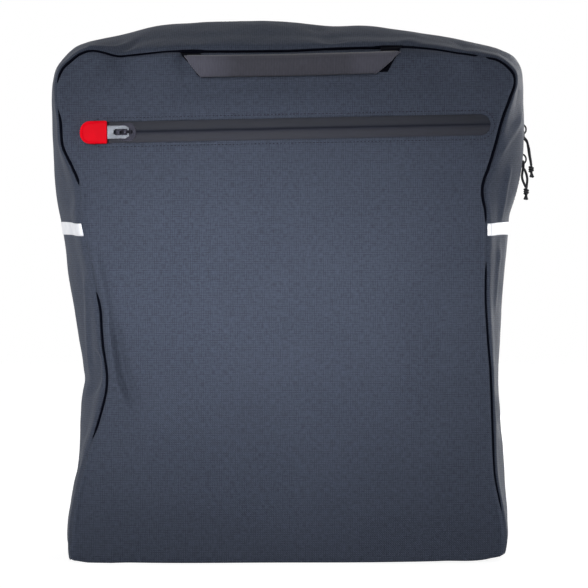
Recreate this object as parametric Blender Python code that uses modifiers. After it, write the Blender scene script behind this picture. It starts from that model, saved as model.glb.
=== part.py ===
"""Bike front bag: a woven fabric shell with two zips, a grab handle and rack hooks.

Metres, +Z up. The origin is the centre of the flat base. The front faces -Y, and +X is to
the right of someone who looks at the front.
"""
import math
from dataclasses import dataclass

import bmesh
import bpy
from mathutils import Matrix, Vector

# Shell
GAP = 0.0003
FABRIC = 0.0015
DEPTH = 0.130
BINDING_WIDTH = 0.007
BINDING_THICKNESS = 0.0012

# Belly of the front panel: how far it stands proud at its peak and at the foot
BELLY = 0.018
FOOT_BELLY = 0.008
BELLY_TOP = 0.290
BELLY_PEAK = 0.160

# Reflective strips across the side gussets
STRIP_Z = 0.237
STRIP_WIDTH = 0.010
STRIP_THICKNESS = 0.0006

# Band of the main zip in the gusset, as shares of the depth
BAND_FRONT = 0.56
BAND_BACK = 0.69

# Zip tapes, teeth, coils and end stops
TAPE = 0.0012
TAPE_UNDERLAP = 0.004
SLIT_HALF = 0.0008
TEETH_DEPTH = 0.0015
TEETH_OUTER = 0.0046
TOOTH_PITCH = 0.0036
TOOTH_WIDTH = 0.0016
TOOTH_LENGTH = 0.0018
COIL_WIDTH = 0.0018
STOP_LENGTH = 0.003
STOP_HALF = 0.0045
STOP_HEIGHT = 0.0010
MAIN_STOP_RISE = 0.025

# Pocket zip in the front panel
ZIP_Z = 0.3087
ZIP_X = 0.0025
ZIP_INSET = 0.014
ZIP_WINDOW = 0.015
TILT = math.radians(1.2)
RIGHT_STOP_INSET = 0.006
SLIDER_INSET = 0.0243

# Zip sliders: a plate on each side of the tapes, a neck between them and an arched bridge
SLIDER_LENGTH = 0.014
SLIDER_HALF = 0.0065
SLIDER_PLATE = 0.0015
SLIDER_NECK_HALF = 0.0004
SLIDER_LIP = 0.0014
SLIDER_ROUNDNESS = 2.6
BRIDGE_HALF = 0.0045
BRIDGE_HEIGHT = 0.0043
BRIDGE_BAR = 0.0011
BRIDGE_WIDTH = 0.0022
UPPER_SLIDER_Z = 0.3125
LOWER_SLIDER_Z = 0.2905

# Metal pull of the pocket zip and its rubber tab
PIVOT_ALONG = 0.0015
PIVOT_LIFT = 0.0014
PULL_THICKNESS = 0.0012
PULL_BAR = 0.0012
PULL_HOLE = 0.0100
PULL_HOLE_HALF = 0.0023
PULL_HALF = 0.0046
PULL_NOSE_HALF = 0.0030
PULL_NOSE = 0.0030
PULL_NECK = 0.0042
TONGUE_LENGTH = 0.014
TONGUE_HALF = 0.0030
TONGUE_THICKNESS = 0.0008
TAB_LENGTH = 0.0193
TAB_HALF = 0.0082
TAB_CORNER = 0.0075
TAB_THICKNESS = 0.0034
TAB_WALL = 0.0004
TAB_EDGE = 0.0006

# Pull cords of the main zip
CORD_RADIUS = 0.0009
CORD_BEND = 0.0036
KNOT_RADIUS = 0.0022
KNOT_LENGTH = 0.0068
TAIL_LENGTH = 0.0045
TAIL_SPREAD = 0.0012

# Grab handle of flat webbing, folded down over the front panel
WEBBING = 0.0018
HANDLE_WIDTH = 0.0155
HANDLE_HALF = 0.0800
HANDLE_TAB = 0.0030
HANDLE_X = 0.0005
HANDLE_BELOW_SEAM = 0.0010
LAYER_OVERLAP = 0.0003

# Back wall of the front pocket
LINING = 0.0008
LINING_ABOVE_ZIP = 0.0293
LINING_STEP = 0.015
LINING_FOOT = 0.060
LINING_DROP = 0.0062
LINING_INSET = 0.012

# Stiffening boards
BOARD = 0.0020
BOARD_SIDE_INSET = 0.025
BOARD_LOW = 0.040
BOARD_ABOVE_SHOULDER = 0.010
BOARD_CORNER = 0.020
BASE_BOARD_INSET = 0.012
BASE_BOARD_HALF = 0.138

# Hook rail on the back, a channel with two lips
RAIL_BELOW_BOARD_TOP = 0.032
RAIL_HALF = 0.125
RAIL_HALF_HEIGHT = 0.012
RAIL_BASE = 0.003
RAIL_DEPTH = 0.0075
RAIL_LIP = 0.0020
RAIL_LIP_REACH = 0.0050
RAIL_SIDE = 0.0025

# Rack hooks for a round tube, each with a sprung latch
HOOK_X = 0.075
HOOK_WIDTH = 0.020
HOOK_BLOCK = 0.0080
HOOK_LOW = 0.026
HOOK_CHAMFER = 0.003
HOOK_BAR = 0.0047
HOOK_TIP_ANGLE = -20
TUBE_RADIUS = 0.008
TUBE_PLAY = 0.0008
LATCH_WIDTH = 0.0094
LATCH_WALL = 0.0012
LATCH_DROP = 0.0165
LATCH_BARREL = 0.0026
LATCH_ARM = 0.0028
LATCH_BELOW_TUBE = 0.0015
LATCH_TIP_INSET = 0.0020
LATCH_HEADROOM = 0.0015
LATCH_PIN_RADIUS = 0.0013
LATCH_PIN_INSET = 0.0012

# Lower rail and its swivel hook
LOWER_RAIL_Z = 0.085
LOWER_RAIL_HALF = 0.055
LOWER_RAIL_HALF_HEIGHT = 0.011
LOWER_RAIL_DEPTH = 0.005
LOWER_RAIL_CORNER = 0.006
SWIVEL_RADIUS = 0.011
LOWER_HOOK_REACH = 0.030
LOWER_HOOK_WIDTH = 0.012
LOWER_HOOK_BAR = 0.0035
LOWER_HOOK_END = 100
LOWER_TUBE_RADIUS = 0.006

# Screws
SCREW_RADIUS = 0.0020
SCREW_HEAD_RADIUS = 0.0045
SCREW_HEAD = 0.0020
SCREW_BITE = 0.0022
RAIL_SCREWS_X = (-0.110, -0.020, 0.020, 0.110)
LOWER_SCREWS_X = (-0.045, 0.045)

# Sides of small round pieces
ROUND = 14


@dataclass(frozen=True)
class Outline:
    """The bag's outline in one vertical plane, symmetric about x = 0."""
    base: float
    waist: float
    shoulder: float
    waist_z: float
    straight_z: float
    shoulder_z: float
    power: float
    foot: float
    corner: float
    arch: float


FRONT = Outline(base=0.154, waist=0.137, shoulder=0.1625, waist_z=0.150, straight_z=0.334,
                shoulder_z=0.334, power=2.0, foot=0.008, corner=0.022, arch=0.005)
MIDDLE = Outline(base=0.161, waist=0.152, shoulder=0.1725, waist_z=0.130, straight_z=0.270,
                 shoulder_z=0.346, power=1.4, foot=0.010, corner=0.030, arch=0.015)
BACK = Outline(base=0.156, waist=0.150, shoulder=0.165, waist_z=0.150, straight_z=0.340,
               shoulder_z=0.340, power=1.5, foot=0.008, corner=0.026, arch=0.010)

# Where the top arch, the top corner, the side down to the strip, the whole side and the foot
# corner end along the half outline, which runs from 0 at the middle of the top to 1 at the
# middle of the base
U_TOP = 0.17
U_SHOULDER = 0.26
U_STRIP = 0.39
U_SIDE = 0.66
U_FOOT = 0.70

FRONT_INNER = -DEPTH / 2 + FABRIC
BACK_INNER = DEPTH / 2 - FABRIC
BACK_OUTER = DEPTH / 2
BAND_MIDDLE = (BAND_FRONT + BAND_BACK) / 2
GUSSET_DEPTH = BACK_INNER - FRONT_INNER - 2 * GAP
TAPE_SINK = FABRIC + 2 * GAP
COIL_SINK = TAPE_SINK + TAPE + GAP
BAND_Y = FRONT_INNER + GAP + GUSSET_DEPTH * BAND_MIDDLE
SLIDER_TOP = GAP + SLIDER_PLATE
RAIL_Y = BACK_OUTER + GAP
JAW = TUBE_RADIUS + TUBE_PLAY
BLOCK_Y = RAIL_DEPTH + GAP
TUBE_Y = BLOCK_Y + HOOK_BLOCK + JAW
LATCH_Y = BLOCK_Y + LATCH_WALL + LATCH_BARREL + GAP
LOWER_JAW = LOWER_TUBE_RADIUS + TUBE_PLAY
LINING_TOP = ZIP_Z + LINING_ABOVE_ZIP
BOARD_HALF = BACK.waist - BOARD_SIDE_INSET
BOARD_HIGH = BACK.shoulder_z + BOARD_ABOVE_SHOULDER
RAIL_Z = BOARD_HIGH - RAIL_BELOW_BOARD_TOP


def mix(a, b, t):
    return a + (b - a) * t


def smooth(t):
    t = min(max(t, 0.0), 1.0)
    return t * t * (3 - 2 * t)


def spread(start, end, count):
    """Even steps from start to end, count of them."""
    return [mix(start, end, i / count) for i in range(count + 1)]


def joined(*runs):
    """The runs one after another, with each shared end written once."""
    points = list(runs[0])
    for run in runs[1:]:
        points.extend(run[1:])
    return points


def both_sides(run):
    """A run that starts at 0, carried on to its mirror image."""
    return [-u for u in reversed(run[1:])] + list(run)


def arc(centre, radius, start, end, count):
    """Points of a circular arc; the angles are in degrees."""
    angles = [math.radians(a) for a in spread(start, end, count)]
    return [(centre[0] + radius * math.cos(a), centre[1] + radius * math.sin(a)) for a in angles]


def rounded_box(half_x, low, high, radius, count=3):
    """Corner-rounded rectangle, symmetric about x = 0."""
    x, low_y, high_y = half_x - radius, low + radius, high - radius
    return (arc((x, low_y), radius, -90, 0, count) + arc((x, high_y), radius, 0, 90, count)
            + arc((-x, high_y), radius, 90, 180, count) + arc((-x, low_y), radius, 180, 270, count))


def new_collection(name):
    made = bpy.data.collections.new(name)
    bpy.context.scene.collection.children.link(made)
    return made


def linear(channel):
    return channel / 12.92 if channel <= 0.04045 else ((channel + 0.055) / 1.055) ** 2.4


def material(name, red, green, blue, roughness, metallic=0.0):
    """A Principled material; the colour is given in 8-bit display values."""
    made = bpy.data.materials.new(name)
    made.use_nodes = True
    shader = made.node_tree.nodes["Principled BSDF"]
    colour = [linear(c / 255) for c in (red, green, blue)]
    shader.inputs["Base Color"].default_value = (*colour, 1.0)
    shader.inputs["Roughness"].default_value = roughness
    shader.inputs["Metallic"].default_value = metallic
    made.diffuse_color = (*colour, 1.0)
    return made


# Shapes

def slab(us, vs, shape):
    """A closed sheet: a grid with lines us and vs, extruded, then mapped by shape(u, v, w).

    w is 0 on the outer face and 1 on the inner face.
    """
    bm = bmesh.new()
    bmesh.ops.create_grid(bm, x_segments=len(us) - 1, y_segments=len(vs) - 1, size=0.5)
    raised = bmesh.ops.extrude_face_region(bm, geom=bm.faces[:])["geom"]
    inner = {vert for vert in raised if isinstance(vert, bmesh.types.BMVert)}
    for vert in bm.verts:
        i = round((vert.co.x + 0.5) * (len(us) - 1))
        j = round((vert.co.y + 0.5) * (len(vs) - 1))
        vert.co = shape(us[i], vs[j], 1 if vert in inner else 0)
    bmesh.ops.triangulate(bm, faces=bm.faces[:], quad_method="SHORT_EDGE")
    return bm


def flat(x, y, z):
    return x, y, z


def facing_back(x, y, z):
    """The outline lies in x and z, and its thickness runs along Y."""
    return x, z, y


def side_profile(x, y, z):
    """The outline lies in y and z, and its thickness runs along X."""
    return z, x, y


def plate(points, low, high, turned=flat):
    """A flat outline, filled from low to high across its plane."""
    curve = bpy.data.curves.new("outline", "CURVE")
    curve.dimensions = "2D"
    curve.fill_mode = "BOTH"
    curve.extrude = (high - low) / 2
    spline = curve.splines.new("POLY")
    spline.points.add(len(points) - 1)
    for point, (x, y) in zip(spline.points, points):
        point.co = (x, y, 0, 1)
    spline.use_cyclic_u = True
    guide = bpy.data.objects.new("outline", curve)
    bpy.context.scene.collection.objects.link(guide)
    graph = bpy.context.evaluated_depsgraph_get()
    mesh = bpy.data.meshes.new_from_object(guide.evaluated_get(graph))
    bm = bmesh.new()
    bm.from_mesh(mesh)
    bpy.data.objects.remove(guide)
    bpy.data.curves.remove(curve)
    bpy.data.meshes.remove(mesh)
    bmesh.ops.remove_doubles(bm, verts=bm.verts[:], dist=0.00001)
    for vert in bm.verts:
        vert.co = turned(vert.co.x, vert.co.y, vert.co.z + (low + high) / 2)
    return bm


def block(x, y, z):
    """A box from three (low, high) pairs."""
    bm = bmesh.new()
    bmesh.ops.create_cube(bm, size=1.0)
    for vert in bm.verts:
        vert.co = [mix(low, high, c + 0.5) for c, (low, high) in zip(vert.co, (x, y, z))]
    return bm


def rod(radius, start, end):
    """A cylinder between two points."""
    start, end = Vector(start), Vector(end)
    turn = Vector((0, 0, 1)).rotation_difference(end - start).to_matrix().to_4x4()
    bm = bmesh.new()
    bmesh.ops.create_cone(bm, cap_ends=True, segments=ROUND, radius1=radius, radius2=radius,
                          depth=(end - start).length,
                          matrix=Matrix.Translation((start + end) / 2) @ turn)
    return bm


def gathered(shapes):
    """Several separate shapes in one mesh, for a cutter."""
    whole = bmesh.new()
    for shape in shapes:
        bmesh.ops.recalc_face_normals(shape, faces=shape.faces[:])
        part = bpy.data.meshes.new("part")
        shape.to_mesh(part)
        shape.free()
        whole.from_mesh(part)
        bpy.data.meshes.remove(part)
    return whole


# Objects

def place(name, bm, finish=None, parent=None):
    """Link a closed bmesh as an object; without a finish it is a cutter."""
    bmesh.ops.recalc_face_normals(bm, faces=bm.faces[:])
    mesh = bpy.data.meshes.new(name)
    bm.to_mesh(mesh)
    bm.free()
    mesh.shade_smooth()
    mesh.set_sharp_from_angle(angle=math.radians(35))
    obj = bpy.data.objects.new(name, mesh)
    obj.parent = parent
    if finish:
        mesh.materials.append(finish)
        PARTS.objects.link(obj)
    else:
        CUTTERS.objects.link(obj)
        obj.hide_render = True
        obj.display_type = "WIRE"
    return obj


def frame(name, location, axes=None, parent=None):
    """An empty; axes are its own x, y and z directions."""
    obj = bpy.data.objects.new(name, None)
    PARTS.objects.link(obj)
    turn = Matrix(axes).transposed().to_4x4() if axes else Matrix()
    obj.parent = parent
    obj.matrix_local = Matrix.Translation(location) @ turn
    return obj


def boolean(target, other, operation="DIFFERENCE"):
    modifier = target.modifiers.new(operation.title(), "BOOLEAN")
    modifier.operation = operation
    modifier.object = other
    return target


# Outlines of the shell

def half_width(face, z):
    if z < face.waist_z:
        return mix(face.waist, face.base, smooth(1 - z / face.waist_z))
    rise = min((z - face.waist_z) / (face.straight_z - face.waist_z), 1.0)
    return mix(face.waist, face.shoulder, rise ** face.power)


def lean(face):
    """Angle by which the side leans outwards where it meets the top corner."""
    step = 0.001
    below = half_width(face, face.shoulder_z - step)
    return math.atan((half_width(face, face.shoulder_z) - below) / step)


def outline(face, u):
    """Point of the outline: u is 0 at the middle of the top, 1 or -1 at the middle of the base."""
    s = abs(u)
    foot_x = half_width(face, face.foot) - face.foot
    corner_x = face.shoulder - face.corner * math.cos(lean(face))
    corner_z = face.shoulder_z + face.corner * math.sin(lean(face))
    if s < U_TOP:
        x = corner_x * s / U_TOP
        z = corner_z + face.corner + face.arch * (1 - (s / U_TOP) ** 2)
    elif s < U_SHOULDER:
        angle = mix(math.pi / 2, -lean(face), (s - U_TOP) / (U_SHOULDER - U_TOP))
        x = corner_x + face.corner * math.cos(angle)
        z = corner_z + face.corner * math.sin(angle)
    elif s < U_SIDE:
        if s < U_STRIP:
            z = mix(face.shoulder_z, STRIP_Z, (s - U_SHOULDER) / (U_STRIP - U_SHOULDER))
        else:
            z = mix(STRIP_Z, face.foot, (s - U_STRIP) / (U_SIDE - U_STRIP))
        x = half_width(face, z)
    elif s < U_FOOT:
        angle = mix(0, -math.pi / 2, (s - U_SIDE) / (U_FOOT - U_SIDE))
        x = foot_x + face.foot * math.cos(angle)
        z = face.foot + face.foot * math.sin(angle)
    else:
        x = foot_x * (1 - s) / (1 - U_FOOT)
        z = 0.0
    return Vector((math.copysign(x, u), z))


def u_at_height(z):
    """Place along the middle outline where its side passes a height above the strip."""
    return mix(U_SHOULDER, U_STRIP, (MIDDLE.shoulder_z - z) / (MIDDLE.shoulder_z - STRIP_Z))


def u_step(u, distance):
    """Change of u that moves a point of the outline by a distance."""
    step = 0.0005
    return distance * step / (outline(MIDDLE, u + step) - outline(MIDDLE, u)).length


def inward(u):
    """Unit normal of the outline, pointing into the bag."""
    step = 0.002
    along = outline(MIDDLE, min(u + step, 1.0)) - outline(MIDDLE, max(u - step, -1.0))
    return Vector((along.y, -along.x)).normalized()


def belly(share, z):
    """How far the front panel stands proud, at a share of its half width and a height."""
    if z > BELLY_PEAK:
        swell = BELLY * smooth((BELLY_TOP - z) / (BELLY_TOP - BELLY_PEAK))
    else:
        swell = mix(FOOT_BELLY, BELLY, smooth(z / BELLY_PEAK))
    return swell * (1 - share ** 2)


def front_edge(u):
    """Y of the front panel's outer face at its edge."""
    return -DEPTH / 2 - belly(min((1 - abs(u)) / (1 - U_FOOT), 1.0), 0.0)


def gusset_point(u, t, sink):
    """Point of the gusset: t runs from the front seam to the back seam, sink goes inwards."""
    front, middle, back = (outline(face, u) for face in (FRONT, MIDDLE, BACK))
    if t < BAND_FRONT:
        spot = front.lerp(middle, math.sin(math.pi / 2 * t / BAND_FRONT))
    elif t > BAND_BACK:
        spot = back.lerp(middle, math.sin(math.pi / 2 * (1 - t) / (1 - BAND_BACK)))
    else:
        spot = middle
    spot = spot + inward(u) * sink
    return Vector((spot.x, mix(front_edge(u) + FABRIC + GAP, BACK_INNER - GAP, t), spot.y))


def panel_point(face, u, share):
    """Point inside an outline: the row that meets the outline at u, a share of the way across."""
    edge = outline(face, u)
    lift = face.arch * smooth((U_SHOULDER - u) / (U_SHOULDER - U_TOP))
    return edge.x * share, edge.y + lift * (1 - share ** 2)


def gusset_sheet(us, ts, sink, thickness):
    return slab(us, ts, lambda u, t, w: gusset_point(u, t, sink + thickness * w))


ZIP_HALF = half_width(FRONT, ZIP_Z) - ZIP_INSET
SEAM_U = u_step(U_STRIP, GAP / 2)
TOP_LINES = joined(spread(0, U_TOP, 5), spread(U_TOP, U_SHOULDER, 5),
                   spread(U_SHOULDER, u_at_height(MIDDLE.straight_z), 2))
ARCH_LINES = joined(TOP_LINES, [TOP_LINES[-1], U_STRIP - SEAM_U])
SIDE_LINES = joined(spread(U_STRIP + SEAM_U, U_SIDE, 7), spread(U_SIDE, U_FOOT, 3))
BINDING_SHARE = BINDING_WIDTH / GUSSET_DEPTH
FRONT_LINES = joined([0, BINDING_SHARE], spread(BINDING_SHARE, BAND_FRONT, 4))
BAND_LINES = [BAND_FRONT, BAND_MIDDLE, BAND_BACK]
BACK_LINES = joined(spread(BAND_BACK, 1 - BINDING_SHARE, 2), [1 - BINDING_SHARE, 1])
DEPTH_LINES = joined(FRONT_LINES, BAND_LINES, BACK_LINES)


def make_panels():
    fabric = material("panel_fabric", 66, 73, 88, 0.85)
    shares = spread(-1, 1, 14)
    rows = joined(spread(U_TOP, U_SHOULDER, 4), spread(U_SHOULDER, U_SIDE, 14), spread(U_SIDE, U_FOOT, 2))

    def front_point(share, u, w):
        x, z = panel_point(FRONT, u, share)
        return x, -DEPTH / 2 - belly(share, z) + FABRIC * w, z

    def back_point(share, u, w):
        x, z = panel_point(BACK, u, share)
        return x, BACK_OUTER - FABRIC * w, z

    front = place("front_panel", slab(shares, rows, front_point), fabric)
    ends = ZIP_HALF - ZIP_WINDOW / 2
    window = (arc((ends, 0), ZIP_WINDOW / 2, -90, 90, 8)
              + arc((-ends, 0), ZIP_WINDOW / 2, 90, 270, 8))
    boolean(front, place("window_cutter", plate(window, -ZIP_WINDOW, ZIP_WINDOW), parent=ZIP_FRAME))
    rows = joined(spread(U_TOP, U_SHOULDER, 4), spread(U_SHOULDER, U_SIDE, 7), spread(U_SIDE, U_FOOT, 2))
    back = place("back_panel", slab(spread(-1, 1, 6), rows, back_point), fabric)
    boolean(back, SCREW_HOLES)


def make_gussets():
    fabric = material("gusset_fabric", 60, 66, 80, 0.85)
    arch = both_sides(ARCH_LINES)
    place("upper_gusset_front", gusset_sheet(arch, FRONT_LINES, 0, FABRIC), fabric)
    place("upper_gusset_back", gusset_sheet(arch, BACK_LINES, 0, FABRIC), fabric)
    left = [-u for u in SIDE_LINES]
    place("side_gusset_left", gusset_sheet(left, DEPTH_LINES, 0, FABRIC), fabric)
    place("side_gusset_right", gusset_sheet(SIDE_LINES, DEPTH_LINES, 0, FABRIC), fabric)

    def base_point(share, t, w):
        reach = (1 - U_FOOT) * (1 - abs(share)) + u_step(U_FOOT, GAP) * abs(share)
        u = math.copysign(U_FOOT + reach, share)
        return gusset_point(u, t, FABRIC * w)

    place("base_panel", slab(spread(-1, 1, 10), DEPTH_LINES, base_point), fabric)


def make_strips():
    tape = material("reflective_tape", 226, 229, 234, 0.35)
    half = u_step(U_STRIP, STRIP_WIDTH / 2)
    inset = STRIP_THICKNESS / GUSSET_DEPTH
    ts = [inset] + DEPTH_LINES[1:-1] + [1 - inset]
    for name, side in (("reflective_strip_left", -1), ("reflective_strip_right", 1)):
        us = [side * (U_STRIP + step) for step in (-half, 0, half)]
        sheet = gusset_sheet(us, ts, -GAP - STRIP_THICKNESS, STRIP_THICKNESS)
        place(name, sheet, tape)


def make_bindings():
    tape = material("binding_tape", 28, 30, 36, 0.8)
    end = 1 - u_step(U_FOOT, GAP)
    loop = both_sides(joined(TOP_LINES, [TOP_LINES[-1], U_STRIP], [U_STRIP, SIDE_LINES[0]],
                             SIDE_LINES, spread(U_FOOT, end, 5)))
    hem = GAP / GUSSET_DEPTH
    for name, ts in (("front_seam_binding", [hem, BINDING_SHARE]),
                     ("back_seam_binding", [1 - BINDING_SHARE, 1 - hem])):
        place(name, gusset_sheet(loop, ts, FABRIC + GAP, BINDING_THICKNESS), tape)


def make_boards():
    plastic = material("board_plastic", 34, 36, 40, 0.5)
    outer = BACK_INNER - GAP
    points = rounded_box(BOARD_HALF, BOARD_LOW, BOARD_HIGH, BOARD_CORNER)
    back = place("back_board", plate(points, outer - BOARD, outer, facing_back), plastic)
    boolean(back, SCREW_HOLES)
    low = FABRIC + GAP
    depth = (FRONT_INNER + BASE_BOARD_INSET, BACK_INNER - BASE_BOARD_INSET)
    place("base_board", plate(rounded_box(BASE_BOARD_HALF, *depth, BASE_BOARD_INSET), low, low + BOARD),
          plastic)


# Zips

def teeth_comb(offset, side):
    """One row of teeth on its backing strip, drawn beside the slit."""
    root = SLIT_HALF + TOOTH_LENGTH
    points = [(-ZIP_HALF, side * TEETH_OUTER), (-ZIP_HALF, side * root)]
    count = int((2 * ZIP_HALF - TOOTH_PITCH) / TOOTH_PITCH)
    for i in range(count):
        x = -ZIP_HALF + TOOTH_PITCH * (i + 0.5) + offset
        near, far = x - TOOTH_WIDTH / 2, x + TOOTH_WIDTH / 2
        points += [(near, side * root), (near, side * SLIT_HALF), (far, side * SLIT_HALF), (far, side * root)]
    points += [(ZIP_HALF, side * root), (ZIP_HALF, side * TEETH_OUTER)]
    return plate(points, -TAPE - GAP - TEETH_DEPTH, -TAPE - GAP)


def slider_mesh():
    """A slider; x along the zip, z outwards from the tapes' outer face."""
    channel = -TAPE - GAP - TEETH_DEPTH - GAP
    neck, lip, half = SLIDER_NECK_HALF, SLIDER_HALF - SLIDER_LIP, SLIDER_HALF
    lip_top = -TAPE - GAP
    back = channel - SLIDER_PLATE
    right = [(neck, GAP), (neck, channel), (lip, channel), (lip, lip_top), (half, lip_top), (half, back)]
    section = ([(half, SLIDER_TOP), (half, GAP)] + right
               + [(-y, z) for y, z in reversed(right)] + [(-half, GAP), (-half, SLIDER_TOP)])
    body = place("slider_body", plate(section, -SLIDER_LENGTH / 2, SLIDER_LENGTH / 2, side_profile))
    plan = []
    for angle in spread(0, 2 * math.pi, 24)[:-1]:
        c, s = math.cos(angle), math.sin(angle)
        power = 2 / SLIDER_ROUNDNESS
        plan.append((math.copysign(abs(c) ** power, c) * SLIDER_LENGTH / 2,
                     math.copysign(abs(s) ** power, s) * SLIDER_HALF))
    tall = SLIDER_LENGTH
    boolean(body, place("slider_plan", plate(plan, -tall, tall)), "INTERSECT")
    outer = [(BRIDGE_HALF * math.cos(a), SLIDER_TOP + BRIDGE_HEIGHT * math.sin(a))
             for a in spread(0, math.pi, 10)]
    hole = [((BRIDGE_HALF - BRIDGE_BAR) * math.cos(a),
             SLIDER_TOP + (BRIDGE_HEIGHT - BRIDGE_BAR) * math.sin(a)) for a in spread(math.pi, 0, 10)]
    root = SLIDER_TOP - SLIDER_PLATE / 2
    inner = BRIDGE_HALF - BRIDGE_BAR
    arch = ([(BRIDGE_HALF, root)] + outer + [(-BRIDGE_HALF, root), (-inner, root)]
            + hole + [(inner, root)])
    bridge = place("slider_bridge", plate(arch, -BRIDGE_WIDTH / 2, BRIDGE_WIDTH / 2, facing_back))
    boolean(body, bridge, "UNION")
    graph = bpy.context.evaluated_depsgraph_get()
    mesh = bpy.data.meshes.new_from_object(body.evaluated_get(graph))
    for helper in (body, bpy.data.objects["slider_plan"], bridge):
        bpy.data.objects.remove(helper)
    return mesh


def add_slider(name, mesh, finish, parent):
    obj = bpy.data.objects.new(name, mesh.copy())
    obj.data.materials.append(finish)
    PARTS.objects.link(obj)
    obj.parent = parent
    return obj


def make_pocket_zip(slider):
    coated = material("coated_tape", 52, 54, 62, 0.35)
    nylon = material("zip_teeth", 24, 25, 28, 0.5)
    steel = material("dark_steel", 120, 122, 126, 0.35, 1.0)
    long = (-ZIP_HALF - TAPE_UNDERLAP, ZIP_HALF + TAPE_UNDERLAP)
    edge = ZIP_WINDOW / 2 + TAPE_UNDERLAP
    place("pocket_tape_upper", block(long, (SLIT_HALF, edge), (-TAPE, 0)), coated, ZIP_FRAME)
    place("pocket_tape_lower", block(long, (-edge, -SLIT_HALF), (-TAPE, 0)), coated, ZIP_FRAME)
    place("pocket_teeth_upper", teeth_comb(0, 1), nylon, ZIP_FRAME)
    place("pocket_teeth_lower", teeth_comb(TOOTH_PITCH / 2, -1), nylon, ZIP_FRAME)
    closed = SLIDER_INSET - ZIP_HALF
    left = closed - SLIDER_LENGTH / 2 - STOP_LENGTH / 2 - GAP
    right = ZIP_HALF - RIGHT_STOP_INSET
    # The stops sit behind the teeth, in the way of the slider's back plate
    depth = -TAPE - GAP - TEETH_DEPTH - GAP
    for name, x in (("pocket_stop_left", left), ("pocket_stop_right", right)):
        along = (x - STOP_LENGTH / 2, x + STOP_LENGTH / 2)
        place(name, block(along, (-STOP_HALF, STOP_HALF), (depth - STOP_HEIGHT, depth)), steel, ZIP_FRAME)
    seat = frame("pocket_slider_seat", (closed, 0, 0), parent=ZIP_FRAME)
    add_slider("pocket_slider", slider, steel, seat)
    make_pocket_pull(seat, steel)


def make_pocket_pull(seat, steel):
    """The pull swings about a bar that passes under the slider's bridge."""
    pivot = frame("pocket_pull_pivot", (PIVOT_ALONG, 0, SLIDER_TOP + PIVOT_LIFT), parent=seat)
    nose, near = PULL_BAR / 2, -PULL_BAR / 2
    far = near - PULL_HOLE
    heel = far - PULL_NECK
    half = PULL_THICKNESS / 2
    points = [(nose, -PULL_NOSE_HALF), (nose, PULL_NOSE_HALF), (nose - PULL_NOSE, PULL_HALF),
              (heel, PULL_HALF), (heel, -PULL_HALF), (nose - PULL_NOSE, -PULL_HALF)]
    pull = place("pocket_pull", plate(points, -half, half), steel, pivot)
    hole = [(near, -PULL_HOLE_HALF), (near, PULL_HOLE_HALF)]
    hole += arc((far + PULL_HOLE_HALF, 0), PULL_HOLE_HALF, 90, 270, 8)
    boolean(pull, place("pull_hole_cutter", plate(hole, -PULL_HOLE, PULL_HOLE), parent=pivot))
    tongue = block((heel - TONGUE_LENGTH, heel + PULL_NECK / 2), (-TONGUE_HALF, TONGUE_HALF),
                   (-TONGUE_THICKNESS / 2, TONGUE_THICKNESS / 2))
    boolean(pull, place("pull_tongue", tongue, parent=pivot), "UNION")

    rubber = material("red_rubber", 214, 20, 44, 0.4)
    edge = heel - GAP
    x = edge - TAB_LENGTH + TAB_CORNER
    y = TAB_HALF - TAB_CORNER
    tab_points = ([(edge, -TAB_HALF), (edge, TAB_HALF)] + arc((x, y), TAB_CORNER, 90, 180, 6)
                  + arc((x, -y), TAB_CORNER, 180, 270, 6))
    low = -TONGUE_THICKNESS / 2 - GAP - TAB_WALL
    tab = place("pocket_pull_tab", plate(tab_points, low, low + TAB_THICKNESS), rubber, pivot)
    bevel = tab.modifiers.new("Bevel", "BEVEL")
    bevel.width = TAB_EDGE
    bevel.segments = 1
    bevel.limit_method = "ANGLE"
    slot = block((heel - TONGUE_LENGTH - GAP, heel + GAP), (-TONGUE_HALF - GAP, TONGUE_HALF + GAP),
                 (-TONGUE_THICKNESS / 2 - GAP, TONGUE_THICKNESS / 2 + GAP))
    boolean(tab, place("tab_slot_cutter", slot, parent=pivot))


def make_lining():
    """Back wall of the front pocket, which hangs clear of the slider."""
    cloth = material("lining_cloth", 44, 46, 52, 0.8)
    rows = [LINING_TOP, LINING_TOP - LINING_STEP, LINING_TOP - 2 * LINING_STEP]
    rows = joined(rows, spread(rows[-1], LINING_FOOT, 7))

    def point(share, z, w):
        reach = half_width(FRONT, z) - LINING_INSET
        fall = smooth((LINING_TOP - z) / LINING_STEP) * smooth((z - LINING_FOOT) / LINING_FOOT)
        panel = -DEPTH / 2 - belly(share * reach / half_width(FRONT, z), z)
        return share * reach, panel + FABRIC + GAP + LINING_DROP * fall + LINING * w, z

    place("pocket_back_wall", slab(spread(-1, 1, 8), rows, point), cloth)


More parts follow.
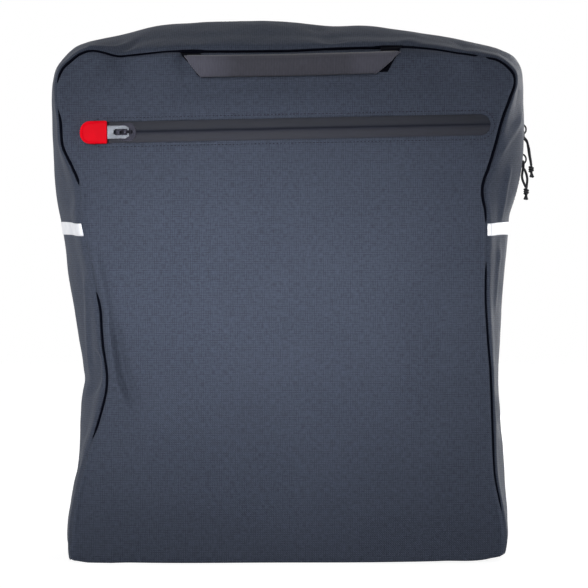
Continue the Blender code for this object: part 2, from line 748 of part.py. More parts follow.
def make_main_zip(slider):
    coated = material("main_zip_tape", 40, 42, 48, 0.4)
    nylon = material("main_zip_coil", 22, 23, 26, 0.5)
    steel = material("blackened_steel", 34, 35, 38, 0.4, 1.0)
    arch = both_sides(ARCH_LINES)
    slit, coil, under = (d / GUSSET_DEPTH for d in (SLIT_HALF, SLIT_HALF + COIL_WIDTH, TAPE_UNDERLAP))
    front = [BAND_FRONT - under, BAND_FRONT, BAND_MIDDLE - slit]
    back = [BAND_MIDDLE + slit, BAND_BACK, BAND_BACK + under]
    place("main_tape_front", gusset_sheet(arch, front, TAPE_SINK, TAPE), coated)
    place("main_tape_back", gusset_sheet(arch, back, TAPE_SINK, TAPE), coated)
    for name, ts in (("main_coil_front", [BAND_MIDDLE - coil, BAND_MIDDLE - slit]),
                     ("main_coil_back", [BAND_MIDDLE + slit, BAND_MIDDLE + coil])):
        place(name, gusset_sheet(arch, ts, COIL_SINK, TEETH_DEPTH), nylon)
    near = U_STRIP - u_step(U_STRIP, MAIN_STOP_RISE)
    far = near - u_step(U_STRIP, STOP_LENGTH)
    half = STOP_HALF / GUSSET_DEPTH
    for name, side in (("main_stop_left", -1), ("main_stop_right", 1)):
        sheet = gusset_sheet([side * near, side * far], [BAND_MIDDLE - half, BAND_MIDDLE + half],
                             TAPE_SINK - GAP - STOP_HEIGHT, STOP_HEIGHT)
        place(name, sheet, steel)
    upright = ((0, 0, 1), (0, -1, 0), (1, 0, 0))
    for name, z in (("upper", UPPER_SLIDER_Z), ("lower", LOWER_SLIDER_Z)):
        seat = frame(f"main_slider_{name}_seat", (MIDDLE.shoulder - TAPE_SINK, BAND_Y, z), upright)
        add_slider(f"main_slider_{name}", slider, steel, seat)


# Pull cords: each is threaded through its slider's bridge and both ends hang to one knot. The
# points are (out from the slider's tape, across the zip, up from the slider).
CORD_OUT = 0.0034
UPPER_CORD = ([(0.0058, -0.0036, -0.0085), (0.0068, -0.0034, -0.0135), (0.0078, -0.0024, -0.0195),
               (0.0089, -0.0014, -0.0245), (0.0092, -0.0013, -0.0265)],
              [(0.0062, 0.0036, -0.0085), (0.0078, 0.0034, -0.0135), (0.0086, 0.0024, -0.0195),
               (0.0093, 0.0014, -0.0245), (0.0095, 0.0013, -0.0265)])
LOWER_CORD = ([(0.0028, -0.0036, -0.0085), (0.0024, -0.0028, -0.0135), (0.0044, -0.0014, -0.0190),
               (0.0054, -0.0013, -0.0210)],
              [(0.0052, 0.0036, -0.0085), (0.0066, 0.0030, -0.0135), (0.0062, 0.0015, -0.0190),
               (0.0060, 0.0013, -0.0210)])
CORD_CREST = -0.0016


def smooth_route(points, steps):
    """Catmull-Rom curve through the points."""
    padded = [points[0] * 2 - points[1], *points, points[-1] * 2 - points[-2]]
    route = []
    for a, b, c, d in zip(padded, padded[1:], padded[2:], padded[3:]):
        for i in range(steps):
            t = i / steps
            route.append(0.5 * ((2 * b) + (c - a) * t + (2 * a - 5 * b + 4 * c - d) * t * t
                                + (3 * b - a - 3 * c + d) * t ** 3))
    route.append(points[-1])
    return route


def make_cord(name, strands, slider_z):
    cordage = material(f"{name}_cordage", 26, 26, 30, 0.75)
    bend = [Vector((CORD_OUT, CORD_BEND * math.sin(a), CORD_CREST - CORD_BEND * (1 - math.cos(a))))
            for a in spread(-math.pi / 2, math.pi / 2, 6)]
    down, up = ([Vector(p) for p in strand] for strand in strands)
    origin = Vector((MIDDLE.shoulder - TAPE_SINK, BAND_Y, slider_z))
    route = [origin + point for point in smooth_route(down[::-1] + bend + up, 2)]
    curve = bpy.data.curves.new(f"pull_cord_{name}", "CURVE")
    curve.dimensions = "3D"
    curve.bevel_depth = CORD_RADIUS
    curve.bevel_resolution = 2
    curve.use_fill_caps = True
    spline = curve.splines.new("POLY")
    spline.points.add(len(route) - 1)
    for point, co in zip(spline.points, route):
        point.co = (*co, 1)
    curve.materials.append(cordage)
    cord = bpy.data.objects.new(f"pull_cord_{name}", curve)
    PARTS.objects.link(cord)

    top = (route[0] + route[-1]) / 2
    bm = bmesh.new()
    bmesh.ops.create_uvsphere(bm, u_segments=10, v_segments=7, radius=1)
    centre = top - Vector((0, 0, GAP + KNOT_LENGTH / 2))
    for vert in bm.verts:
        vert.co = centre + Vector((vert.co.x * KNOT_RADIUS, vert.co.y * KNOT_RADIUS,
                                   vert.co.z * KNOT_LENGTH / 2))
    knot = place(f"cord_knot_{name}", bm, cordage)
    for side in (-1, 1):
        start = centre + Vector((0, side * CORD_RADIUS, 0))
        end = centre + Vector((side * TAIL_SPREAD, side * TAIL_SPREAD, -KNOT_LENGTH / 2 - TAIL_LENGTH / 2))
        tail = place(f"tail_{name}_{side}", rod(CORD_RADIUS, start, end))
        boolean(knot, tail, "UNION")


# Handle

def make_handle():
    """Flat webbing: each end comes down from the seam and folds at 45 degrees to lie level."""
    webbing = material("handle_webbing", 62, 63, 72, 0.8)
    top = -HANDLE_BELOW_SEAM
    high, low = top - HANDLE_TAB, top - HANDLE_TAB - HANDLE_WIDTH
    inner = HANDLE_HALF - HANDLE_WIDTH
    back = -GAP - WEBBING
    bar = [(HANDLE_HALF, high), (-HANDLE_HALF, high), (-inner, low), (inner, low)]
    handle = place("handle_webbing",
                   plate(bar, back - WEBBING, back + LAYER_OVERLAP, facing_back), webbing, HANDLE_FRAME)
    for name, side in (("left", -1), ("right", 1)):
        end = [(side * inner, top), (side * HANDLE_HALF, top), (side * HANDLE_HALF, high), (side * inner, low)]
        piece = place(f"handle_end_{name}", plate(end, back, -GAP, facing_back), parent=HANDLE_FRAME)
        boolean(handle, piece, "UNION")


# Back fittings

def screw_holes():
    inside = BACK_INNER - GAP - BOARD - GAP
    outside = RAIL_Y + SCREW_BITE + GAP
    places = [(x, RAIL_Z) for x in RAIL_SCREWS_X] + [(x, LOWER_RAIL_Z) for x in LOWER_SCREWS_X]
    return gathered([rod(SCREW_RADIUS + GAP, (x, inside, z), (x, outside, z)) for x, z in places])


def make_screws(steel):
    head = BACK_INNER - GAP - BOARD - GAP
    places = [(f"rail_screw_{i + 1}", x, RAIL_Z) for i, x in enumerate(RAIL_SCREWS_X)]
    places += [(f"lower_screw_{i + 1}", x, LOWER_RAIL_Z) for i, x in enumerate(LOWER_SCREWS_X)]
    for name, x, z in places:
        screw = place(name, rod(SCREW_HEAD_RADIUS, (x, head - SCREW_HEAD, z), (x, head, z)), steel)
        shank = rod(SCREW_RADIUS, (x, head - SCREW_HEAD / 2, z), (x, RAIL_Y + SCREW_BITE, z))
        boolean(screw, place(f"{name}_shank", shank), "UNION")


def make_hook_rail(plastic):
    h, inner, lip = RAIL_HALF_HEIGHT, RAIL_HALF_HEIGHT - RAIL_SIDE, RAIL_HALF_HEIGHT - RAIL_LIP_REACH
    under = RAIL_DEPTH - RAIL_LIP
    upper = [(RAIL_BASE, inner), (under, inner), (under, lip), (RAIL_DEPTH, lip), (RAIL_DEPTH, h), (0, h)]
    section = upper + [(y, -z) for y, z in reversed(upper)]
    section = [(y + RAIL_Y, z + RAIL_Z) for y, z in section]
    rail = place("hook_rail", plate(section, -RAIL_HALF, RAIL_HALF, side_profile), plastic)
    boolean(rail, SCREW_HOLES)


def make_hook(name, x, plastic):
    """A hook that slides in the rail, its jaw open downwards; the latch closes it from below."""
    seat = frame(f"hook_{name}_seat", (x, RAIL_Y, RAIL_Z))
    foot_low, foot_high = RAIL_BASE + GAP, RAIL_DEPTH - RAIL_LIP - GAP
    foot = RAIL_HALF_HEIGHT - RAIL_SIDE - GAP
    neck = RAIL_HALF_HEIGHT - RAIL_LIP_REACH - GAP
    face = BLOCK_Y + HOOK_BLOCK
    outer = JAW + HOOK_BAR
    section = [(foot_low, -foot), (foot_high, -foot), (foot_high, -neck), (BLOCK_Y, -neck),
               (BLOCK_Y, -HOOK_LOW), (face, -HOOK_LOW)]
    section += arc((TUBE_Y, 0), JAW, 180, HOOK_TIP_ANGLE, 12)
    section += arc((TUBE_Y, 0), outer, HOOK_TIP_ANGLE, 90, 8)
    section += [(BLOCK_Y + HOOK_CHAMFER, outer), (BLOCK_Y, outer - HOOK_CHAMFER), (BLOCK_Y, neck),
                (foot_high, neck), (foot_high, foot), (foot_low, foot)]
    half = HOOK_WIDTH / 2
    hook = place(f"hook_{name}", plate(section, -half, half, side_profile), plastic, seat)
    slot_top = -LATCH_DROP + LATCH_BARREL + LATCH_HEADROOM
    slot_half = LATCH_WIDTH / 2 + GAP
    slot = block((-slot_half, slot_half), (BLOCK_Y + LATCH_WALL, face + JAW), (-2 * HOOK_LOW, slot_top))
    boolean(hook, place(f"latch_slot_{name}", slot, parent=seat))
    hole = rod(LATCH_PIN_RADIUS + GAP, (-HOOK_WIDTH, LATCH_Y, -LATCH_DROP), (HOOK_WIDTH, LATCH_Y, -LATCH_DROP))
    boolean(hook, place(f"latch_hole_{name}", hole, parent=seat))
    make_latch(name, seat)


def make_latch(name, seat):
    plastic = material(f"latch_{name}_plastic", 72, 74, 78, 0.45)
    pivot = frame(f"latch_{name}_pivot", (0, LATCH_Y, -LATCH_DROP), parent=seat)
    tip = TUBE_Y + JAW - LATCH_TIP_INSET - LATCH_Y
    high = LATCH_DROP - TUBE_RADIUS - LATCH_BELOW_TUBE
    points = arc((0, 0), LATCH_BARREL, 90, 300, 8)
    points += [(tip, high - LATCH_ARM), (tip, high)]
    half = LATCH_WIDTH / 2
    latch = place(f"latch_{name}", plate(points, -half, half, side_profile), plastic, pivot)
    reach = HOOK_WIDTH / 2 - LATCH_PIN_INSET
    pin = place(f"latch_pin_{name}", rod(LATCH_PIN_RADIUS, (-reach, 0, 0), (reach, 0, 0)), parent=pivot)
    boolean(latch, pin, "UNION")


def make_lower_hook(plastic, steel):
    low, high = LOWER_RAIL_Z - LOWER_RAIL_HALF_HEIGHT, LOWER_RAIL_Z + LOWER_RAIL_HALF_HEIGHT
    face = RAIL_Y + LOWER_RAIL_DEPTH
    outline_points = rounded_box(LOWER_RAIL_HALF, low, high, LOWER_RAIL_CORNER)
    rail = place("lower_rail", plate(outline_points, RAIL_Y, face, facing_back), plastic)
    boolean(rail, SCREW_HOLES)
    bottom = face - SCREW_BITE
    hole = rod(SCREW_RADIUS + GAP, (0, bottom - GAP, LOWER_RAIL_Z), (0, face + SCREW_BITE, LOWER_RAIL_Z))
    boolean(rail, place("swivel_hole_cutter", hole))

    seat = frame("lower_hook_pivot", (0, face + GAP, LOWER_RAIL_Z))
    bar = LOWER_HOOK_BAR
    centre = (LOWER_HOOK_REACH, bar + LOWER_JAW)
    points = [(0, 0)] + arc(centre, LOWER_JAW + bar, -90, LOWER_HOOK_END, 10)
    points += arc(centre, LOWER_JAW, LOWER_HOOK_END, -90, 10) + [(0, bar)]
    half = LOWER_HOOK_WIDTH / 2
    hook = place("lower_hook", plate(points, -half, half), plastic, seat)
    boolean(hook, place("swivel_disc", rod(SWIVEL_RADIUS, (0, 0, 0), (0, bar, 0)), parent=seat), "UNION")
    bore = rod(SCREW_RADIUS + GAP, (0, -bar, 0), (0, 2 * bar, 0))
    boolean(hook, place("swivel_bore_cutter", bore, parent=seat))
    head = face + GAP + bar + GAP
    screw = place("swivel_screw", rod(SCREW_HEAD_RADIUS, (0, head, LOWER_RAIL_Z),
                                      (0, head + SCREW_HEAD, LOWER_RAIL_Z)), steel)
    shank = rod(SCREW_RADIUS, (0, bottom, LOWER_RAIL_Z), (0, head + SCREW_HEAD / 2, LOWER_RAIL_Z))
    boolean(screw, place("swivel_shank", shank), "UNION")


for old in list(bpy.data.objects):
    bpy.data.objects.remove(old)

PARTS = new_collection("bike_front_bag")
CUTTERS = new_collection("cutters")

ALONG = (math.cos(TILT), 0, math.sin(TILT))
UPRIGHT = (-math.sin(TILT), 0, math.cos(TILT))
ZIP_FRAME = frame("pocket_zip_frame", (ZIP_X, FRONT_INNER + GAP, ZIP_Z), (ALONG, UPRIGHT, (0, -1, 0)))
HANDLE_FRAME = frame("handle_frame", (HANDLE_X, -DEPTH / 2, outline(FRONT, 0).y),
                     (ALONG, (0, 1, 0), UPRIGHT))
SCREW_HOLES = place("screw_hole_cutter", screw_holes())

SLIDER = slider_mesh()
make_panels()
make_gussets()
make_strips()
make_bindings()
make_boards()
make_pocket_zip(SLIDER)
make_lining()
make_main_zip(SLIDER)
make_cord("upper", UPPER_CORD, UPPER_SLIDER_Z)
make_cord("lower", LOWER_CORD, LOWER_SLIDER_Z)
make_handle()
FITTING = material("fitting_plastic", 38, 40, 44, 0.5)
FASTENER = material("zinc_steel", 150, 152, 155, 0.35, 1.0)
make_hook_rail(FITTING)
make_hook("left", -HOOK_X, FITTING)
make_hook("right", HOOK_X, FITTING)
make_lower_hook(FITTING, FASTENER)
make_screws(FASTENER)
bpy.context.view_layer.update()
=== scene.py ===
import math

import bmesh
import bpy
import numpy as np
from mathutils import Matrix, Vector, noise


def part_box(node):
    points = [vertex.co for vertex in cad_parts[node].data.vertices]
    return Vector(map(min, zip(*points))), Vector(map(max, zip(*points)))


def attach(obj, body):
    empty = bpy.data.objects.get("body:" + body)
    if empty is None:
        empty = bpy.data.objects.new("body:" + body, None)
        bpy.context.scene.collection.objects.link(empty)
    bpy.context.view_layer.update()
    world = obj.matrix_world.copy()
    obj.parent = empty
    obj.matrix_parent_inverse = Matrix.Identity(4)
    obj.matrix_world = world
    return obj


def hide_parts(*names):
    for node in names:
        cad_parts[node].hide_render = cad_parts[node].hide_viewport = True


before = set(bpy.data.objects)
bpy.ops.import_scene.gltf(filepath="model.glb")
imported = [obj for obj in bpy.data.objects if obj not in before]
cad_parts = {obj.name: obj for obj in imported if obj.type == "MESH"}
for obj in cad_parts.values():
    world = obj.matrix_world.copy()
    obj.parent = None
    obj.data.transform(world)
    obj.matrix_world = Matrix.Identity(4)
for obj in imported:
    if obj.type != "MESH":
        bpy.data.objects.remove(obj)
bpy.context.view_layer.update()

MM = 0.001

# Frame of the shell, in metres
BACK_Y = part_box("back_panel")[1].y
FRONT_Y = -BACK_Y
DEPTH = BACK_Y - FRONT_Y
CLOTH = 0.0011
GAP = 0.0003
# Least heights of the back panel and of the middle of the seam allowances over the floor
BACK_LOWEST, SEAM_LOWEST = 0.0012, 0.0013
# Steps of a curve between two points, and how much finer grids are near their edges
SPANS, EASE, FINER = 16, 0.62, 0.75

# The seam round the front panel, in mm (x, z), as four runs between its corners
FRONT_TOP = [(-155.3, 356.8), (-148, 362.3), (-140.5, 364.5), (-131, 363), (-122.3, 360.6),
             (-112, 361.2), (-100, 362.3), (-79.7, 363.7), (-27.1, 364.4), (5, 364.9), (26.3, 366.1),
             (58, 367.1), (80, 367.3), (101, 365.6), (121.6, 362.4), (132, 361.2), (141, 359.6),
             (148.5, 358.2), (156.6, 353.2)]
FRONT_LEFT_UPPER = [(-155.3, 356.8), (-161, 351.2), (-164.3, 342), (-164.4, 328), (-162.3, 314),
                    (-160.6, 296), (-153.8, 281.2), (-148.9, 269), (-147.9, 258), (-147.4, 247),
                    (-145.4, 236.8)]
FRONT_LEFT_LOWER = [(-145.4, 236.8), (-141.6, 218), (-139.4, 208.3), (-136.2, 191.9), (-133.6, 178.4),
                    (-133, 167), (-132, 155), (-129, 127.1), (-134.6, 101.5), (-143.1, 75.8),
                    (-150.2, 50.2), (-154.3, 20), (-155, 6), (-154.2, 1.8)]
FRONT_RIGHT_UPPER = [(156.6, 353.2), (161.5, 347), (161.8, 340), (158.8, 331), (153, 315.1),
                     (148.4, 298), (143.2, 280.9), (139, 268), (138.9, 261), (140.8, 251),
                     (141.2, 236.8)]
FRONT_RIGHT_LOWER = [(141.2, 236.8), (141.3, 210), (141.2, 186), (142.6, 161.3), (144.6, 135.6),
                     (146.2, 93), (148.1, 58.7), (151.4, 41.6), (154.2, 24.6), (154.4, 12),
                     (152.6, 5.2)]
FRONT_BASE = [(-154.2, 1.8), (-149, 0.7), (-110, 0.3), (0, 0.3), (70, 0.5), (110, 1.1), (144, 2.6),
              (152.6, 5.2)]

# How far the front seam gapes: (height in mm, share) down each side; it lies closed along the base
GAPE_LEFT = [(0, 0), (78, 0), (96, 0.9), (184, 1), (200, 0), (264, 0), (273, 0.9), (314, 0.9),
             (324, 0.4), (340, 0.4), (350, 1), (400, 1)]
GAPE_RIGHT = [(0, 0), (24, 0.2), (44, 0.65), (120, 0.8), (206, 0.7), (222, 0.25), (239, 0.35),
              (246, 0.7), (262, 1), (330, 1), (342, 0.7), (352, 1), (400, 1)]
# The same along the top: (place in mm, share)
GAPE_TOP = [(-165, 0.9), (-150, 0.9), (-140, 0.7), (-84, 0.7), (-79, 1), (-68, 1), (-60, 0.5),
            (62, 0.5), (68, 1), (80, 1), (86, 0.9), (104, 0.8), (128, 0.7), (133, 0.7), (137, 0.3),
            (140, 0.3), (143, 0.7), (156, 0.8), (165, 0.9)]

# The widest section of the shell, where the main zip runs
MIDDLE_TOP = [(-163.5, 366.2), (-157.2, 372.2), (-148.6, 376.2), (-136.1, 379.5), (-122.8, 382.2),
              (-99.1, 387.8), (-65.8, 391.2), (-31.1, 392.3), (-1.5, 391.8), (16.2, 389.9),
              (32, 388.6), (56.9, 388.8), (82.8, 385.7), (104.2, 382.4), (136.7, 376.1), (157, 370.4),
              (166, 365.4)]
MIDDLE_LEFT_UPPER = [(-163.5, 366.2), (-170.3, 356.5), (-172.9, 346.2), (-173.7, 333), (-173.2, 300),
                     (-172.2, 275.2), (-170.1, 257.4), (-166.3, 236.8)]
MIDDLE_LEFT_LOWER = [(-166.3, 236.8), (-160.5, 195.3), (-154.6, 159.8), (-151, 137), (-150.2, 129.5),
                     (-151.7, 121), (-152.8, 112), (-153.2, 100), (-155.3, 62.3), (-159.6, 42),
                     (-162.4, 24), (-161.9, 10), (-158.5, 1.2)]
MIDDLE_RIGHT_UPPER = [(166, 365.4), (171.8, 356), (173.2, 346.2), (174, 328), (174.2, 305),
                      (173.4, 290), (170.6, 272.5), (167, 259), (163.6, 248.6), (162.8, 236.8)]
MIDDLE_RIGHT_LOWER = [(162.8, 236.8), (158.9, 195.3), (156.4, 159.8), (155.2, 130), (156.7, 102),
                      (158.6, 75), (160, 50), (161.8, 26.8), (161.7, 10), (158, 1.2)]
MIDDLE_BASE = [(-158.5, 1.2), (-154, 0.2), (-140, 0), (0, 0), (140, 0), (153.5, 0.2), (158, 1.2)]

# The seam round the back panel, which has no load on it and keeps its cut shape
BACK_TOP = [(-157.6, 361.4), (-149.5, 366.9), (-139.2, 369.1), (-100, 374), (-50, 377.8), (0, 379.1),
            (50, 377.8), (100, 374), (139.2, 369.1), (149.5, 366.9), (157.6, 361.4)]
BACK_UPPER = [(157.6, 361.4), (163.3, 353), (165, 341), (160.5, 300), (155.7, 250), (154.5, 236.8)]
BACK_LOWER = [(154.5, 236.8), (151.9, 200), (150, 150), (151.6, 100), (154.4, 50), (155.9, 12),
              (155, 4), (152.5, 1.6)]
BACK_BASE = [(-152.5, 1.6), (-148, 0.8), (0, 0.8), (148, 0.8), (152.5, 1.6)]

# Main zip: its band as shares of the depth, half its slit, film, and how deep film and coil lie
BAND_FRONT, BAND_BACK = 0.56, 0.69
BAND_MIDDLE = (BAND_FRONT + BAND_BACK) / 2
SLIT_HALF = 0.0008
FILM, SINK, COIL_SINK = 0.0011, 0.0018, 0.0015

# Swell of the front panel: (height, depth) in mm along its middle; how much lower it hangs on the
# left and in the middle; and a second, flat swell below its upper edge
BELLY = [(-10, 8), (0, 8.5), (30, 10.8), (80, 14.8), (120, 17.6), (142, 18.4), (160, 17.3),
         (200, 11.8), (240, 5.8), (270, 2.2), (290, 0.6), (306, 0), (380, 0)]
BELLY_LOW_LEFT = 0.042
BELLY_LOW_MIDDLE = 0.009
BROW = 0.0092
BROW_LOW, BROW_HIGH = 0.317, 0.358
# Soft noise in the cloth: height, size, seed
PANEL_NOISE = ((0.0009, 0.045, 3), (0.0004, 0.016, 5))
GUSSET_NOISE = ((0.0006, 0.035, 11), (0.0003, 0.013, 17))

# Folds and dents of the front panel, the sides and the top
PANEL_FOLDS = [
    # line (x, z) in mm; height; half widths left and right of its run; fades at its start and end
    ([(-142, 229), (-136, 205), (-131, 180), (-126, 150), (-122, 128), (-114, 108), (-104, 92)], 3.8,
     5, 3.6, (0.15, 0.35)),
    ([(-126, 176), (-121, 156), (-117, 136), (-110, 117), (-102, 98)], -3.4, 5, 6, (0.2, 0.35)),
    ([(-134, 122), (-124, 100), (-116, 84)], -2.0, 9, 9, (0.3, 0.3)),
    ([(132, 232), (116, 212), (103, 186), (98, 160), (101, 130)], -2.6, 16, 12, (0.3, 0.4)),
    ([(120, 240), (92, 214), (70, 196)], 1.2, 14, 14, (0.3, 0.5)),
    ([(132, 176), (124, 150), (120, 120)], 1.6, 10, 10, (0.3, 0.3)),
    ([(128, 110), (112, 84), (106, 56)], 1.2, 10, 14, (0.3, 0.3)),
    ([(-140, 300), (-118, 284), (-88, 276)], -1.2, 8, 9, (0.1, 0.5)),
    ([(138, 296), (118, 284), (84, 280)], -1.0, 8, 9, (0.1, 0.5)),
    ([(-122, 359), (-116, 349), (-112, 338)], -1.8, 5, 5, (0.02, 0.5)),
    ([(-131, 361), (-137, 350), (-140, 336)], 1.4, 6, 6, (0.02, 0.5)),
    ([(126, 360), (132, 350), (134, 338)], -1.2, 5, 5, (0.02, 0.5)),
    ([(-76, 362), (-92, 342), (-104, 326)], -1.0, 8, 6, (0.05, 0.5)),
    ([(82, 364), (100, 344), (112, 328)], -0.9, 8, 6, (0.05, 0.5)),
    ([(-77, 362), (-73.5, 352), (-68, 341)], -2.6, 6, 5, (0.05, 0.35)),
    ([(83, 360), (79, 352), (72, 343)], -1.6, 4, 5, (0.05, 0.35)),
    ([(-66, 345.6), (-30, 346.0), (10, 346.8), (66, 348.0)], -1.7, 2.6, 2.6, (0.04, 0.04)),
    ([(-60, 262), (0, 256), (58, 264)], 1.0, 16, 16, (0.4, 0.4)),
    ([(-96, 60), (-60, 42), (-20, 38)], 0.9, 14, 12, (0.4, 0.4)),
    ([(40, 30), (80, 36), (116, 48)], 0.8, 12, 12, (0.4, 0.4)),
]
SIDE_FOLDS = [
    # side, line (y, z) in mm; height; half widths; fades
    (1, [(-60, 292), (-40, 306), (-10, 326)], 1.5, 5, 4, (0.1, 0.4)),
    (1, [(-36, 286), (-34, 262), (-36, 240)], 1.6, 4, 4, (0.2, 0.2)),
    (1, [(-34, 228), (-38, 200), (-40, 170)], 1.5, 5, 5, (0.2, 0.4)),
    (1, [(-56, 120), (-30, 100), (10, 92)], -1.2, 7, 7, (0.2, 0.4)),
    (-1, [(-58, 210), (-44, 178), (-34, 148), (-26, 120)], 2.0, 5, 5, (0.2, 0.3)),
    (-1, [(-60, 150), (-48, 128), (-20, 120)], -2.2, 7, 6, (0.1, 0.3)),
    (-1, [(-60, 262), (-30, 250), (0, 252)], -0.9, 6, 6, (0.2, 0.4)),
    (-1, [(-58, 92), (-36, 66), (-8, 40)], 1.3, 8, 8, (0.2, 0.4)),
    (1, [(30, 200), (44, 150), (40, 100)], -1.2, 10, 10, (0.3, 0.3)),
    (-1, [(30, 200), (44, 150), (40, 100)], -1.2, 10, 10, (0.3, 0.3)),
]
TOP_FOLDS = [
    # line (x, y) in mm over the top; height; half widths; fades
    ([(-142, -62), (-120, -50), (-104, -24)], 1.8, 5, 5, (0.05, 0.5)),
    ([(-118, -63), (-112, -48), (-108, -30)], -1.6, 4, 4, (0.05, 0.5)),
    ([(34, -64), (24, -36), (20, -8)], -1.6, 9, 9, (0.1, 0.3)),
    ([(84, -64), (92, -40), (86, -10)], 1.1, 7, 7, (0.1, 0.4)),
    ([(124, -62), (126, -44), (118, -20)], -1.2, 5, 5, (0.05, 0.5)),
    ([(-60, -64), (-66, -40), (-60, -12)], -0.8, 8, 8, (0.2, 0.4)),
]

# The front seam's groove where it gapes and where it lies closed, and the ridge beside the closed seam
GROOVE, GROOVE_CLOSED, GROOVE_WIDTH = 0.0046, 0.0016, 0.0040
RIDGE = 0.0009
# The rolled lips along the seams: share of the depth and height
LIP, LIP_ROLL = 0.04, 0.0013

# Board in the back panel
BOARD_HALF, BOARD_LOW, BOARD_HIGH = 0.125, 0.040, 0.350

# Pocket zip
TILT = math.radians(1.2)
ZIP_X, ZIP_Z = 0.0025, 0.3087
ZIP_Y = FRONT_Y + 0.0018
ZIP_HALF, ZIP_RADIUS = 0.14197, 0.0075
# Half of a tape in section: (from the middle, out of the zip's plane)
TAPE_PROFILE = [(0.00034, -0.0008), (0.0004, -0.0004), (0.0006, -0.0001), (0.001, 0.00004),
                (0.0015, 0.00012), (0.0025, 0.0002), (0.004, 0.00022), (0.0055, 0.00018),
                (0.007, 0.0001), (0.0085, 0), (0.01, -0.0001), (0.0128, -0.0001)]

# Stitches: length, radius, and from end to end their height and size as shares of the radius
STITCH_LENGTH, STITCH_RADIUS = 0.0019, 0.00027
STITCH_LIFT = (-1.3, 0.35, 0.7, 0.35, -1.3)
STITCH_SIZE = (0.45, 0.95, 1.0, 0.95, 0.45)
# The pocket zip's row: distance from the window; how deep stitches and the window's rim lie
STITCH_OFFSET, STITCH_DIP, RIM_DIP = 0.0028, 0.00022, 0.00035

# Handle
HANDLE_HALF = 0.0800
HANDLE_X, HANDLE_TOP_Z = 0.0005, 0.366861
HANDLE_ENDS = ((-0.0739, -0.0627), (0.0794, 0.0619))
# The strap starts below its sewn-in ends, and as it leans it shows less than its full width
HANDLE_DROP, HANDLE_LEAN = 0.0061, 0.915
WEB_WIDTH, WEBBING = 0.0152, 0.0016
# The panel's hollow behind the handle
HOLLOW, HOLLOW_WIDTH = 0.0056, 0.0078

# Rubber tab: half length and width, radii of its round and its square end; section (inset, out)
TAB_LONG, TAB_WIDE = 0.00965, 0.0082
TAB_ROUND, TAB_CORNER = 0.0075, 0.0012
TAB_PROFILE = [(0, -0.0017), (0, 0.0009), (0.0002, 0.0014), (0.0006, 0.0017), (0.0012, 0.0017),
               (0.0016, 0.00135), (0.0024, 0.00125), (0.0045, 0.0014), (0.0075, 0.0015)]

# Reflective strips; STRIP_RISE is in places of the ring
STRIP_Z, STRIP_WIDTH, STRIP_DEPTH, STRIP_RISE = 0.2368, 0.0092, 0.0004, 1.2

# Pull cords, repeated from the solid model: points are (out, across, up) from the slider
CORD_RADIUS = 0.0009
CORD_BEND, CORD_OUT, CORD_CREST = 0.0036, 0.0034, -0.0016
UPPER_CORD = ([(0.0058, -0.0036, -0.0085), (0.0068, -0.0034, -0.0135), (0.0078, -0.0024, -0.0195),
               (0.0089, -0.0014, -0.0245), (0.0092, -0.0013, -0.0265)],
              [(0.0062, 0.0036, -0.0085), (0.0078, 0.0034, -0.0135), (0.0086, 0.0024, -0.0195),
               (0.0093, 0.0014, -0.0245), (0.0095, 0.0013, -0.0265)])
LOWER_CORD = ([(0.0028, -0.0036, -0.0085), (0.0024, -0.0028, -0.0135), (0.0044, -0.0014, -0.0190),
               (0.0054, -0.0013, -0.0210)],
              [(0.0052, 0.0036, -0.0085), (0.0066, 0.0030, -0.0135), (0.0062, 0.0015, -0.0190),
               (0.0060, 0.0013, -0.0210)])
CORD_X, CORD_Y = 0.1704, 0.0158
UPPER_SLIDER_Z, LOWER_SLIDER_Z = 0.3125, 0.2905
KNOT_DROP = 0.0068 * 0.42
KNOT_TURNS, KNOT_REACH, KNOT_RISE = 3, 0.00125, 0.0046
# Any direction that no tube starts in
TUBE_START = (0.31, 0.95, 0.11)

FLOOR_HALF = 6.0
CAMERA_AWAY = 2.2
CAMERA_X, CAMERA_Z = 0.0044, 0.1909
VIEW_WIDTH = 0.4316


def mix(a, b, t):
    return a + (b - a) * t


def smooth(t):
    """Smooth step: 0 up to t = 0 and 1 from t = 1 on."""
    t = np.clip(t, 0.0, 1.0)
    return t * t * (3 - 2 * t)


def joined(*parts):
    """Arrays and numbers side by side on a new last axis."""
    return np.stack(np.broadcast_arrays(*parts), axis=-1)


def curve(points, closed=False):
    """A smooth curve through the points, with SPANS steps between each two of them."""
    points = np.array(points, float)
    chord = np.linalg.norm(np.diff(points, axis=0), axis=1)
    slope = np.diff(points, axis=0) / chord[:, None]
    tangent = np.empty_like(points)
    near, far = chord[:-1, None], chord[1:, None]
    tangent[1:-1] = (slope[:-1] * far + slope[1:] * near) / (near + far)
    tangent[0], tangent[-1] = slope[0], slope[-1]
    if closed:
        tangent[0] = (slope[-1] * chord[0] + slope[0] * chord[-1]) / (chord[0] + chord[-1])
        tangent[-1] = tangent[0]
    t = np.linspace(0, 1, SPANS, endpoint=False)[:, None]
    dense = []
    for i, length in enumerate(chord):
        dense.append((2 * t**3 - 3 * t**2 + 1) * points[i]
                     + (t**3 - 2 * t**2 + t) * length * tangent[i]
                     + (3 * t**2 - 2 * t**3) * points[i + 1]
                     + (t**3 - t**2) * length * tangent[i + 1])
    return np.vstack(dense + [points[-1:]])


def runs(path):
    """Length along a line up to each of its points."""
    return np.concatenate([[0], np.cumsum(np.linalg.norm(np.diff(path, axis=0), axis=1))])


def sampled(path, at, run=None):
    """Points of a line where its run has the values at; without a run, points are counted."""
    run = np.arange(len(path)) if run is None else run
    return joined(*(np.interp(at, run, column) for column in path.T))


def spaced(dense, count):
    """count + 1 points, evenly along a dense line."""
    run = runs(dense)
    return sampled(dense, np.linspace(0, run[-1], count + 1), run)


def through(points, count):
    """count + 1 even steps along a smooth curve through a few points."""
    return spaced(curve(points), count)


